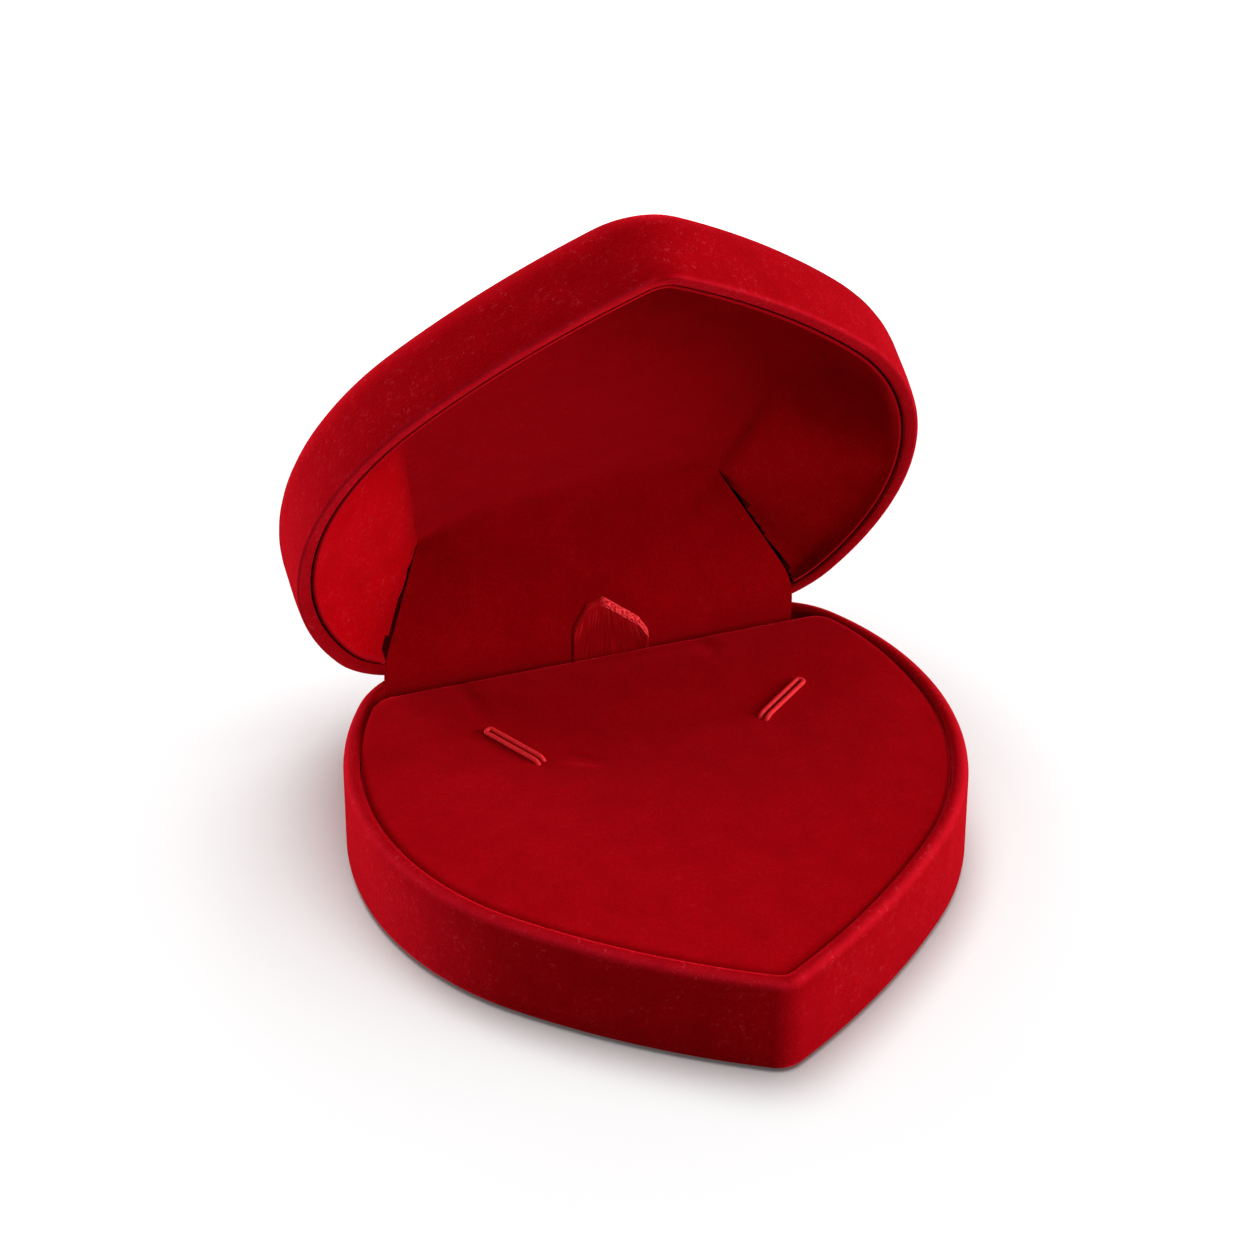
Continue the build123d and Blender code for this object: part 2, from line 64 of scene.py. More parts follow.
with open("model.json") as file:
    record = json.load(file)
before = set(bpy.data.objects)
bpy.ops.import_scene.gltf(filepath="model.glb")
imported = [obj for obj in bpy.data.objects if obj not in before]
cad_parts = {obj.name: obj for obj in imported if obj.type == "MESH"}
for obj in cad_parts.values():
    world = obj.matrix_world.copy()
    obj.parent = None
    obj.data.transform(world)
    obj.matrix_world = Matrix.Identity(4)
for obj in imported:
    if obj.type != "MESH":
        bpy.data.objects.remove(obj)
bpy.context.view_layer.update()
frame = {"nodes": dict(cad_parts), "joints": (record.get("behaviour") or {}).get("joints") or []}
velvet_low, velvet_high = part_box("base_velvet")
lid_joint = next(joint for joint in frame["joints"] if joint["name"] == "lid_hinge")


class HeartOutline(PropertyGroup):
    """Outline of the base, made of arcs that run into each other"""

    width: FloatProperty(
        name="Width",
        description="Width of the base across the heart",
        default=velvet_high.x - velvet_low.x,
        unit="LENGTH",
    )
    tip_reach: FloatProperty(
        name="Tip Reach",
        description="Distance from the middle of the base to the unrounded tip",
        default=0.056,
        unit="LENGTH",
    )
    tip_angle: FloatProperty(
        name="Tip Angle",
        description="Slant of the sides at the tip",
        default=radians(28.2),
        subtype="ANGLE",
    )
    side_angle: FloatProperty(
        name="Side Angle",
        description="Slant at which the side runs into the shoulder",
        default=radians(46.2),
        subtype="ANGLE",
    )
    side_share: FloatProperty(
        name="Side Share",
        description="Share of the half width that the side's arc spans",
        default=0.713,
        subtype="FACTOR",
    )
    lobe_angle: FloatProperty(
        name="Lobe Angle",
        description="Turn at which the shoulder runs into the lobe",
        default=radians(33.5),
        subtype="ANGLE",
    )
    lobe_radius: FloatProperty(
        name="Lobe Radius",
        description="Radius of the two lobes beside the hinge",
        default=0.018,
        unit="LENGTH",
    )
    cleft_depth: FloatProperty(
        name="Cleft Depth",
        description="Depth of the shallow cleft that holds the hinge",
        default=0.0038,
        unit="LENGTH",
    )
    tip_radius: FloatProperty(
        name="Tip Radius",
        description="Rounding of the tip",
        default=0.006,
        unit="LENGTH",
    )


class BaseSizes(PropertyGroup):
    """Velvet drawn over the tray of the base"""

    height: FloatProperty(
        name="Height",
        description="Height of the base over the table",
        default=velvet_high.z,
        unit="LENGTH",
    )
    hem_level: FloatProperty(
        name="Hem Level",
        description="Height of the velvet's hem over the table",
        default=velvet_low.z,
        unit="LENGTH",
    )
    velvet: FloatProperty(
        name="Velvet Thickness",
        description="Thickness of the velvet with its pile",
        default=0.0006,
        unit="LENGTH",
    )
    rim_width: FloatProperty(
        name="Rim Width",
        description="Width of the velvet-covered rim",
        default=0.0031,
        unit="LENGTH",
    )
    rim_round: FloatProperty(
        name="Rim Rounding",
        description="Rounding of the rim's outer edge",
        default=0.0019,
        unit="LENGTH",
    )
    rim_inner_round: FloatProperty(
        name="Rim Inner Rounding",
        description="Rounding of the rim's inner edge",
        default=0.0011,
        unit="LENGTH",
    )
    foot_round: FloatProperty(
        name="Foot Rounding",
        description="Rounding of the lower edge",
        default=0.0018,
        unit="LENGTH",
    )
    lip_depth: FloatProperty(
        name="Lip Depth",
        description="Depth to which the velvet is turned in over the rim",
        default=0.006,
        unit="LENGTH",
    )
    hem_width: FloatProperty(
        name="Hem Width",
        description="Width of the velvet that is turned in under the base",
        default=0.007,
        unit="LENGTH",
    )
    notch_width: FloatProperty(
        name="Notch Width",
        description="Width of the hinge's notch",
        default=0.0288,
        unit="LENGTH",
    )
    notch_floor: FloatProperty(
        name="Notch Floor",
        description="Height of the notch's floor over the table",
        default=0.016,
        unit="LENGTH",
    )


class LidSizes(PropertyGroup):
    """Velvet drawn over the lid, and the lid's dished lining"""

    open_angle: FloatProperty(
        name="Open Angle",
        description="Turn of the lid from shut to open",
        default=radians(lid_joint["range_deg"][1]),
        subtype="ANGLE",
    )
    rim: FloatProperty(
        name="Rim Level",
        description="Height of the lid's rim over the table when shut",
        default=0.0202,
        unit="LENGTH",
    )
    height: FloatProperty(
        name="Height",
        description="Height of the lid",
        default=0.0185,
        unit="LENGTH",
    )
    overhang: FloatProperty(
        name="Overhang",
        description="Distance by which the lid stands out over the base",
        default=0.0025,
        unit="LENGTH",
    )
    top_round: FloatProperty(
        name="Top Rounding",
        description="Rounding of the lid's top edge",
        default=0.0075,
        unit="LENGTH",
    )
    tip_ease: FloatProperty(
        name="Tip Ease",
        description="Radius by which the tip is rounder at the lid's top than at its rim",
        default=0.009,
        unit="LENGTH",
    )
    shell: FloatProperty(
        name="Shell Thickness",
        description="Thickness of the moulded shell under the velvet",
        default=0.0013,
        unit="LENGTH",
    )
    rim_round: FloatProperty(
        name="Rim Rounding",
        description="Rounding of the rim's outer edge",
        default=0.0007,
        unit="LENGTH",
    )
    rim_inner_round: FloatProperty(
        name="Rim Inner Rounding",
        description="Rounding of the rim's inner edge",
        default=0.0004,
        unit="LENGTH",
    )
    belly: FloatProperty(
        name="Belly",
        description="Distance by which the wall is drawn in at the rim",
        default=0.0003,
        unit="LENGTH",
    )
    belly_height: FloatProperty(
        name="Belly Height",
        description="Height over the rim at which the wall is widest",
        default=0.0055,
        unit="LENGTH",
    )
    rim_slope: FloatProperty(
        name="Rim Slope",
        description="Depth by which the rim's inner edge lies over its outer edge when shut",
        default=0.0005,
        unit="LENGTH",
    )
    lip_inset: FloatProperty(
        name="Lip Inset",
        description="Distance from the base's outline in to the turned lip of the velvet",
        default=0.0005,
        unit="LENGTH",
    )
    lip_depth: FloatProperty(
        name="Lip Depth",
        description="Depth to which the velvet is turned in over the rim",
        default=0.0010,
        unit="LENGTH",
    )
    notch_top: FloatProperty(
        name="Notch Top",
        description="Height of the hinge's notch over the table when shut",
        default=0.021,
        unit="LENGTH",
    )
    lining_inset: FloatProperty(
        name="Lining Inset",
        description="Distance from the base's outline in to the face of the lining",
        default=0.0016,
        unit="LENGTH",
    )
    lining_edge: FloatProperty(
        name="Lining Edge",
        description="Height of the lining's edge over the table when shut",
        default=0.0210,
        unit="LENGTH",
    )
    ceiling: FloatProperty(
        name="Ceiling",
        description="Height of the lining's ceiling over the table when shut",
        default=0.0354,
        unit="LENGTH",
    )
    roll_radius: FloatProperty(
        name="Roll Radius",
        description="Radius of the roll between the lining's wall and its ceiling",
        default=0.0106,
        unit="LENGTH",
    )


class FlapSizes(PropertyGroup):
    """Tongue of the lining that runs down to the base and hides the hinge"""

    fold_left: FloatVectorProperty(
        name="Left Fold End",
        description="Left end of the fold, across and along the shut lid",
        default=(-0.0310, 0.0374),
        size=2,
        unit="LENGTH",
    )
    fold_right: FloatVectorProperty(
        name="Right Fold End",
        description="Right end of the fold, across and along the shut lid",
        default=(0.0277, 0.0301),
        size=2,
        unit="LENGTH",
    )
    knee_left: FloatVectorProperty(
        name="Left Knee",
        description="Left end of the bend over the pad, across the heart and over the table",
        default=(-0.0425, 0.0258),
        size=2,
        unit="LENGTH",
    )
    knee_right: FloatVectorProperty(
        name="Right Knee",
        description="Right end of the bend over the pad, across the heart and over the table",
        default=(0.0390, 0.0286),
        size=2,
        unit="LENGTH",
    )
    foot_left: FloatProperty(
        name="Left Foot",
        description="Left end of the glued foot, across the heart",
        default=-0.0419,
        unit="LENGTH",
    )
    foot_right: FloatProperty(
        name="Right Foot",
        description="Right end of the glued foot, across the heart",
        default=0.0386,
        unit="LENGTH",
    )
    foot_level: FloatProperty(
        name="Foot Level",
        description="Height of the flap's foot over the table",
        default=0.011,
        unit="LENGTH",
    )
    depth: FloatProperty(
        name="Depth",
        description="Place of the flap's lower part, along the heart",
        default=0.04887,
        unit="LENGTH",
    )
    ceiling_reach: FloatProperty(
        name="Ceiling Reach",
        description="Length of the flap that lies in the ceiling past the fold",
        default=0.013,
        unit="LENGTH",
    )
    fold_slack: FloatProperty(
        name="Fold Slack",
        description="Length over which the flap bends at the middle of its fold",
        default=0.009,
        unit="LENGTH",
    )
    left_crease: FloatProperty(
        name="Left Crease",
        description="Slant of the crease that runs up the ceiling from the fold's left end",
        default=radians(9.6),
        subtype="ANGLE",
    )
    right_crease: FloatProperty(
        name="Right Crease",
        description="Slant of the crease that runs up the ceiling from the fold's right end",
        default=radians(17.6),
        subtype="ANGLE",
    )
    left_slit: FloatProperty(
        name="Left Slit",
        description="Slant of the slit that runs from the fold's left end to the rim",
        default=radians(28.0),
        subtype="ANGLE",
    )
    right_slit: FloatProperty(
        name="Right Slit",
        description="Slant of the slit that runs from the fold's right end to the rim",
        default=radians(33.0),
        subtype="ANGLE",
    )


class PadSizes(PropertyGroup):
    """Padded insert that carries the necklace"""

    edge: FloatProperty(
        name="Edge",
        description="Height of the pad's upper edge over the table",
        default=0.0195,
        unit="LENGTH",
    )
    rear_lift: FloatProperty(
        name="Rear Lift",
        description="Height by which the pad stands up at its rear",
        default=0.0013,
        unit="LENGTH",
    )
    bottom: FloatProperty(
        name="Bottom",
        description="Height of the pad's underside over the table",
        default=0.0102,
        unit="LENGTH",
    )
    inset: FloatProperty(
        name="Inset",
        description="Distance from the base's outline in to the pad",
        default=0.0033,
        unit="LENGTH",
    )
    rear: FloatProperty(
        name="Rear",
        description="Place of the pad's straight rear edge, along the heart",
        default=0.04767,
        unit="LENGTH",
    )
    corner: FloatProperty(
        name="Corner Radius",
        description="Rounding of the pad's two rear corners",
        default=0.0055,
        unit="LENGTH",
    )
    edge_round: FloatProperty(
        name="Edge Rounding",
        description="Rounding of the pad's upper edge",
        default=0.0014,
        unit="LENGTH",
    )
    pressure: FloatProperty(
        name="Pressure",
        description="Pressure of the foam under the cover in the simulation",
        default=1.0,
    )
    swell: FloatProperty(
        name="Swell",
        description="Height by which the cover swells where it rises most",
        default=0.0008,
        unit="LENGTH",
    )
    crease_depth: FloatProperty(
        name="Crease Depth",
        description="Depth of the creases that the loops pull into the velvet",
        default=0.0003,
        unit="LENGTH",
    )


class RibbonSizes(PropertyGroup):
    """Folded ribbon that the pad is lifted by"""

    width: FloatProperty(
        name="Width",
        description="Width of the ribbon",
        default=0.015,
        unit="LENGTH",
    )
    thickness: FloatProperty(
        name="Thickness",
        description="Thickness of the ribbon",
        default=0.0004,
        unit="LENGTH",
    )
    offset: FloatProperty(
        name="Offset",
        description="Place of the ribbon's middle, across the heart",
        default=0.0017,
        unit="LENGTH",
    )
    peak: FloatVectorProperty(
        name="Peak",
        description="Highest point of the fold, across the heart and over the table",
        default=(0.0002, 0.0339),
        size=2,
        unit="LENGTH",
    )
    fold_half: FloatProperty(
        name="Fold Half",
        description="Half of the depth of the puffed fold",
        default=0.0011,
        unit="LENGTH",
    )
    foot_level: FloatProperty(
        name="Foot Level",
        description="Height of the ribbon's glued ends over the table",
        default=0.0104,
        unit="LENGTH",
    )


class LoopSizes(PropertyGroup):
    """Elastic loops that hold a chain on the pad"""

    diameter: FloatProperty(
        name="Cord Diameter",
        description="Diameter of the elastic cord",
        default=0.0009,
        unit="LENGTH",
    )
    spacing: FloatProperty(
        name="Spacing",
        description="Distance between the middles of a loop's two strands",
        default=0.00145,
        unit="LENGTH",
    )


class Finishes(PropertyGroup):
    """Colours of the box's materials"""

    velvet: FloatVectorProperty(
        name="Velvet",
        description="Colour of the velvet's pile",
        default=(0.25, 0.0004, 0.0022),
        min=0.0,
        max=1.0,
        size=3,
        subtype="COLOR",
    )
    velvet_deep: FloatVectorProperty(
        name="Deep Velvet",
        description="Colour between the tufts of the pile",
        default=(0.15, 0.0002, 0.0013),
        min=0.0,
        max=1.0,
        size=3,
        subtype="COLOR",
    )
    velvet_sheen: FloatVectorProperty(
        name="Velvet Sheen",
        description="Tint of the pile where it is seen along the surface",
        default=(1.0, 0.014, 0.030),
        min=0.0,
        max=1.0,
        size=3,
        subtype="COLOR",
    )
    # Colour of the painted highlight along the rims' rounded edges.
    velvet_painted_highlight: FloatVectorProperty(
        name="Worn Velvet",
        description="Colour of the splayed pile along the rims' edges",
        default=(0.46, 0.006, 0.015),
        min=0.0,
        max=1.0,
        size=3,
        subtype="COLOR",
    )
    lint: FloatVectorProperty(
        name="Lint",
        description="Colour of the pale hairs that cling to the velvet",
        default=(0.55, 0.055, 0.08),
        min=0.0,
        max=1.0,
        size=3,
        subtype="COLOR",
    )
    ribbon: FloatVectorProperty(
        name="Ribbon",
        description="Colour of the pull ribbon",
        default=(0.26, 0.0006, 0.0024),
        min=0.0,
        max=1.0,
        size=3,
        subtype="COLOR",
    )
    # Colour of the painted highlight on the ribs along the ribbon's fold.
    ribbon_painted_lustre: FloatVectorProperty(
        name="Ribbon Lustre",
        description="Colour of the ribbon's ribs where they catch the light on the fold",
        default=(0.84, 0.05, 0.06),
        min=0.0,
        max=1.0,
        size=3,
        subtype="COLOR",
    )
    cord: FloatVectorProperty(
        name="Cord",
        description="Colour of the elastic loops",
        default=(0.60, 0.012, 0.018),
        min=0.0,
        max=1.0,
        size=3,
        subtype="COLOR",
    )
    floor: FloatVectorProperty(
        name="Floor",
        description="Colour of the floor",
        default=(0.8, 0.8, 0.8),
        min=0.0,
        max=1.0,
        size=3,
        subtype="COLOR",
    )


TIP_STEPS = 8
SIDE_STEPS = 40
SHOULDER_STEPS = 56
LOBE_STEPS = 20
CLEFT_STEPS = 20
SHARPEST_TIP = 0.001

RIM_SEGMENTS = 6
INNER_RIM_SEGMENTS = 5
# Strength of the painted highlight along the rims' edges.
PAINTED_HIGHLIGHT_STRENGTH = 0.7
NOTCH_START = 0.045

CUT_TOLERANCE = 1e-7
WELD_DISTANCE = 0.00002
SLIVER_LENGTH = 0.00001
BORDER_WIDTH = 0.00004


def arc(centre, radius, start, stop, steps):
    """Points along an arc, without its last one."""
    turn = (stop - start) / steps
    angles = [start + turn * step for step in range(steps)]
    return [centre + radius * Vector((cos(angle), sin(angle))) for angle in angles]


def clamped(share):
    """A share, held between nothing and one."""
    return min(max(share, 0.0), 1.0)


def eased(share):
    """A clamped share that starts and stops softly."""
    share = clamped(share)
    return share * share * (3 - 2 * share)


def ring_shares(rings):
    """Shares of even rings that close a shape in, without its edge and its pole."""
    return [1 - step / rings for step in range(1, rings)]


def mirrored(half):
    """Closed line from its right half, which starts and ends on the middle."""
    left = [Vector((-point.x, point.y)) for point in reversed(half[1:-1])]
    return half + left


class HeartLine:
    """Arcs of the heart, from which its outline is drawn at any inset."""

    def __init__(self, outline):
        half = outline.width / 2
        run = outline.side_share * half
        self.tip_radius = outline.tip_radius
        self.side_stop = outline.side_angle - pi / 2
        self.lobe_start = outline.lobe_angle
        self.side_radius = run / (sin(outline.side_angle) - sin(outline.tip_angle))
        self.shoulder_radius = (half - run) / (1 - sin(outline.side_angle))
        self.lobe_radius = outline.lobe_radius
        self.side = Vector(
            (
                -self.side_radius * sin(outline.tip_angle),
                self.side_radius * cos(outline.tip_angle) - outline.tip_reach,
            )
        )
        step = self.side_radius - self.shoulder_radius
        self.shoulder = self.side + step * Vector((sin(outline.side_angle), -cos(outline.side_angle)))
        step = self.shoulder_radius - self.lobe_radius
        self.lobe = self.shoulder + step * Vector((cos(outline.lobe_angle), sin(outline.lobe_angle)))
        depth = outline.cleft_depth
        self.cleft_radius = (self.lobe.x**2 - 2 * self.lobe_radius * depth + depth**2) / (2 * depth)
        self.cleft_y = self.lobe.y + self.lobe_radius - depth
        self.cleft = Vector((0, self.cleft_y + self.cleft_radius))
        self.cleft_half = asin(self.lobe.x / (self.lobe_radius + self.cleft_radius))

    def side_and_shoulder(self, inset, shoulder_stop, tip_ease=0.0):
        """Line from the tip, which may be rounded more, up the right side and round the shoulder."""
        radius = self.side_radius - inset
        tip_radius = max(self.tip_radius + tip_ease - inset, SHARPEST_TIP)
        tip = Vector((0, self.side.y - sqrt((radius - tip_radius) ** 2 - self.side.x**2)))
        contact = atan2(tip.y - self.side.y, -self.side.x)
        return (
            arc(tip, tip_radius, -pi / 2, contact, TIP_STEPS)
            + arc(self.side, radius, contact, self.side_stop, SIDE_STEPS)
            + self.shoulder_arc(inset, shoulder_stop)
        )

    def shoulder_arc(self, inset, stop):
        """Arc of the right shoulder, up to an angle."""
        return arc(self.shoulder, self.shoulder_radius - inset, self.side_stop, stop, SHOULDER_STEPS)

    def points(self, inset, tip_ease=0.0):
        """Outline of the heart, drawn in by the inset."""
        lobe_stop = pi / 2 + self.cleft_half
        half = (
            self.side_and_shoulder(inset, self.lobe_start, tip_ease)
            + arc(self.lobe, self.lobe_radius - inset, self.lobe_start, lobe_stop, LOBE_STEPS)
            + arc(self.cleft, self.cleft_radius + inset, lobe_stop - pi, -pi / 2, CLEFT_STEPS)
            + [Vector((0, self.cleft_y - inset))]
        )
        return mirrored(half)

    def inset_of(self, x, y):
        """Distance of a point in from the outline, past the sides and the lobes."""
        point = Vector((abs(x), y))
        angle = atan2(y - self.shoulder.y, abs(x) - self.shoulder.x)
        if angle > self.lobe_start:
            return self.lobe_radius - (point - self.lobe).length
        if angle < self.side_stop:
            return self.side_radius - (point - self.side).length
        return self.shoulder_radius - (point - self.shoulder).length


def at_level(points, height):
    """Plan points lifted to a height."""
    return [Vector((point.x, point.y, height)) for point in points]


def start_ring(bm, points):
    """First ring of a skin."""
    ring = bmesh.ops.create_circle(bm, segments=len(points), radius=1.0)["verts"]
    for vert, point in zip(ring, points):
        vert.co = point
    return ring


def ring_edges(bm, ring):
    """Edges of a ring, in order."""
    return [bm.edges.get(pair) for pair in zip(ring, ring[1:] + ring[:1])]


def next_ring(bm, ring, points):
    """Draw a ring's edges out to the next ring of a skin."""
    made = bmesh.ops.extrude_edge_only(bm, edges=ring_edges(bm, ring))["geom"]
    fresh = {item for item in made if isinstance(item, bmesh.types.BMVert)}
    after = []
    for vert in ring:
        ends = [edge.other_vert(vert) for edge in vert.link_edges]
        after.append(next(end for end in ends if end in fresh))
    for vert, point in zip(after, points):
        vert.co = point
    return after


def round_over(bm, ring, radius, segments):
    """Round the edge that runs along a ring."""
    bmesh.ops.bevel(
        bm,
        geom=ring_edges(bm, ring),
        offset=radius,
        offset_type="OFFSET",
        segments=segments,
        profile=0.5,
        affect="EDGES",
        material=-1,
    )


def mark_painted_highlight(bm, line, inset, height, inwards, reach):
    """Mark the edge of a rim for a painted highlight, lightest along the rounded edge and fading away from
    it.
    """
    painted_highlight = bm.verts.layers.float.new("painted_highlight")
    for vert in bm.verts:
        across = line.inset_of(vert.co.x, vert.co.y) - inset - reach / 4
        along = inwards * (vert.co.z - height) - reach / 4
        vert[painted_highlight] = PAINTED_HIGHLIGHT_STRENGTH * max(0.0, 1.0 - sqrt(across**2 + along**2) / reach)


def close_in(bm, ring, centre, shares):
    """Close a ring over with smaller and smaller copies of itself, and a pole in the middle."""
    outer = [vert.co.copy() for vert in ring]
    for share in shares:
        ring = next_ring(bm, ring, [centre.lerp(point, share) for point in outer])
    bmesh.ops.pointmerge(bm, verts=ring, merge_co=centre)


def face_outwards(bm):
    """Turn all faces the same way."""
    bmesh.ops.recalc_face_normals(bm, faces=bm.faces)


def flip_if(bm, wrong):
    """Turn the skin over where its faces point the wrong way."""
    if wrong:
        bmesh.ops.reverse_faces(bm, faces=bm.faces)


def cut(bm, place, normal):
    """Cut all faces along a plane, and keep both sides."""
    everything = bm.verts[:] + bm.edges[:] + bm.faces[:]
    bmesh.ops.bisect_plane(bm, geom=everything, dist=CUT_TOLERANCE, plane_co=place, plane_no=normal)


def remove_faces(bm, unwanted):
    """Delete the faces whose middle passes a test."""
    faces = [face for face in bm.faces if unwanted(face.calc_center_median())]
    bmesh.ops.delete(bm, geom=faces, context="FACES")


def cut_notch(bm, width, level, unwanted):
    """Let the hinge's notch into the rear, up or down to a level, where faces pass a test."""
    half = width / 2
    cut(bm, (half, 0.0, 0.0), (1.0, 0.0, 0.0))
    cut(bm, (-half, 0.0, 0.0), (1.0, 0.0, 0.0))
    cut(bm, (0.0, 0.0, level), (0.0, 0.0, 1.0))
    remove_faces(bm, lambda place: abs(place.x) < half and place.y > NOTCH_START and unwanted(place))


def opened(place, angle):
    """Place of a point of the lid once the lid is turned open."""
    hinge = Vector(lid_joint["pos_m"])
    return hinge + Matrix.Rotation(-angle, 3, "X") @ (place - hinge)


def turn_open(bm, angle):
    """Turn a piece of the lid open about the hinge."""
    hinge = Vector(lid_joint["pos_m"])
    bmesh.ops.rotate(bm, verts=bm.verts, cent=hinge, matrix=Matrix.Rotation(-angle, 3, "X"))


def add_piece(name, bm, materials, sharp_angle=50.0):
    """Finish a bmesh as an object of the scene."""
    mesh = bpy.data.meshes.new(name)
    bm.to_mesh(mesh)
    bm.free()
    for material in materials:
        mesh.materials.append(material)
    mesh.shade_smooth()
    mesh.set_sharp_from_angle(angle=radians(sharp_angle))
    piece = bpy.data.objects.new(name, mesh)
    bpy.context.scene.collection.objects.link(piece)
    return piece


def border(bm):
    """Add a hair-thin border along open edges, so that their shading stays at the edge."""
    bmesh.ops.remove_doubles(bm, verts=bm.verts, dist=WELD_DISTANCE)
    bmesh.ops.dissolve_degenerate(bm, edges=bm.edges, dist=SLIVER_LENGTH)
    bmesh.ops.inset_region(
        bm,
        faces=bm.faces[:],
        thickness=BORDER_WIDTH,
        use_even_offset=False,
        use_boundary=True,
    )


def thicken(piece, thickness, rim_material=0):
    """Give a skin its thickness, behind its face."""
    shell = piece.modifiers.new("Thickness", "SOLIDIFY")
    shell.thickness = thickness
    shell.offset = -1.0
    shell.use_quality_normals = True
    shell.material_offset_rim = rim_material
    return shell


class MaterialSheet:
    """Node tree of one material, with short calls for its nodes."""

    def __init__(self, name):
        self.material = bpy.data.materials.new(name)
        self.material.use_nodes = True
        self.nodes = self.material.node_tree.nodes
        self.links = self.material.node_tree.links
        self.shader = self.nodes["Principled BSDF"]
        self.coords = self.nodes.new("ShaderNodeTexCoord")

    def link(self, source, target):
        """Join two sockets."""
        self.links.new(source, target)

    def stretched_uv(self, across, along):
        """The piece's own UV map, stretched along both of its ways."""
        mapping = self.nodes.new("ShaderNodeMapping")
        mapping.inputs["Scale"].default_value = (across, along, 1.0)
        self.link(self.coords.outputs["UV"], mapping.inputs["Vector"])
        return mapping.outputs["Vector"]

    def attribute(self, name):
        """Value that the mesh keeps at each of its points."""
        node = self.nodes.new("ShaderNodeAttribute")
        node.attribute_name = name
        return node.outputs["Fac"]

    def noise(self, scale, detail, roughness, vector=None):
        """Noise over the object, or over other coordinates."""
        node = self.nodes.new("ShaderNodeTexNoise")
        node.inputs["Scale"].default_value = scale
        node.inputs["Detail"].default_value = detail
        node.inputs["Roughness"].default_value = roughness
        self.link(vector or self.coords.outputs["Object"], node.inputs["Vector"])
        return node.outputs["Fac"]

    def ramp(self, value, low, high, low_colour, high_colour):
        """Colour that runs from one to another as a value rises."""
        node = self.nodes.new("ShaderNodeValToRGB")
        node.color_ramp.elements[0].position = low
        node.color_ramp.elements[1].position = high
        node.color_ramp.elements[0].color = (*low_colour, 1.0)
        node.color_ramp.elements[1].color = (*high_colour, 1.0)
        self.link(value, node.inputs["Fac"])
        return node.outputs["Color"]

    def mix(self, share, first, second):
        """Two colours mixed by a share, which is a number or a socket."""
        node = self.nodes.new("ShaderNodeMix")
        node.data_type = "RGBA"
        if isinstance(share, float):
            node.inputs["Factor"].default_value = share
        else:
            self.link(share, node.inputs["Factor"])
        self.link(first, node.inputs["A"])
        self.link(second, node.inputs["B"])
        return node.outputs["Result"]

    def fade(self, value, start, stop):
        """Smooth rise from nothing at the start to one at the stop, which may lie below the start."""
        node = self.nodes.new("ShaderNodeMapRange")
        node.interpolation_type = "SMOOTHSTEP"
        node.inputs["From Min"].default_value = start
        node.inputs["From Max"].default_value = stop
        self.link(value, node.inputs["Value"])
        return node.outputs["Result"]

    def lint(self, ground, patches, share, colour):
        """Short pale hairs, strewn in patches over a colour."""
        curls = self.noise(1100.0, 1.0, 0.5)
        from_middle = self.math("ABSOLUTE", self.math("SUBTRACT", curls, 0.5))
        hairs = self.fade(from_middle, 0.03, 0.006)
        strewn = self.fade(self.noise(800.0, 1.0, 0.5), 0.50, 0.60)
        patched = self.fade(patches, 0.36, 0.60)
        amount = self.math("MULTIPLY", self.math("MULTIPLY", hairs, strewn), patched)
        return self.tinted(self.math("MULTIPLY", amount, share), ground, colour)

    def painted_highlight(self, ground, patches, colour):
        """Painted highlight: a lighter colour in cloudy patches where an edge is marked for it."""
        patched = self.fade(patches, -0.1, 0.55)
        return self.tinted(self.math("MULTIPLY", self.attribute("painted_highlight"), patched), ground, colour)

    def tinted(self, share, ground, colour, blend="MIX"):
        """Plain colour laid over another by a share."""
        node = self.nodes.new("ShaderNodeMix")
        node.data_type = "RGBA"
        node.blend_type = blend
        node.inputs["B"].default_value = (*colour, 1.0)
        self.link(share, node.inputs["Factor"])
        self.link(ground, node.inputs["A"])
        return node.outputs["Result"]

    def math(self, operation, first, second=0.0):
        """Sum on a socket, with a number or another socket."""
        node = self.nodes.new("ShaderNodeMath")
        node.operation = operation
        self.link(first, node.inputs[0])
        if isinstance(second, float):
            node.inputs[1].default_value = second
        else:
            self.link(second, node.inputs[1])
        return node.outputs["Value"]

    def bump(self, height, strength, distance, under=None):
        """Fine relief from a height."""
        node = self.nodes.new("ShaderNodeBump")
        node.inputs["Strength"].default_value = strength
        node.inputs["Distance"].default_value = distance
        self.link(height, node.inputs["Height"])
        if under is not None:
            self.link(under, node.inputs["Normal"])
        return node.outputs["Normal"]

    def set(self, **values):
        """Set plain values on the shader."""
        for name, value in values.items():
            label = name.replace("_", " ").title().replace("Ior", "IOR")
            self.shader.inputs[label].default_value = value

    def set_sheen(self, weight, tint):
        """Set the sheen that shows where the pile or thread is seen along the surface."""
        self.set(sheen_weight=weight, sheen_roughness=0.4)
        self.shader.inputs["Sheen Tint"].default_value = (*tint, 1.0)

    def paint(self, colour, relief):
        """Give the shader its colour and its relief."""
        self.link(colour, self.shader.inputs["Base Color"])
        self.link(relief, self.shader.inputs["Normal"])


def shaded(colour, gain, lift=0.0):
    """Lighter or darker form of a colour."""
    return [min(1.0, gain * value + lift) for value in colour]


# Painted light: lining panels marked for it are brightened by this gain, and given this much more pale
# lint.
PAINTED_LIGHT_GAIN = (1.75, 1.75, 1.75)
PAINTED_LIGHT_LINT = 0.2


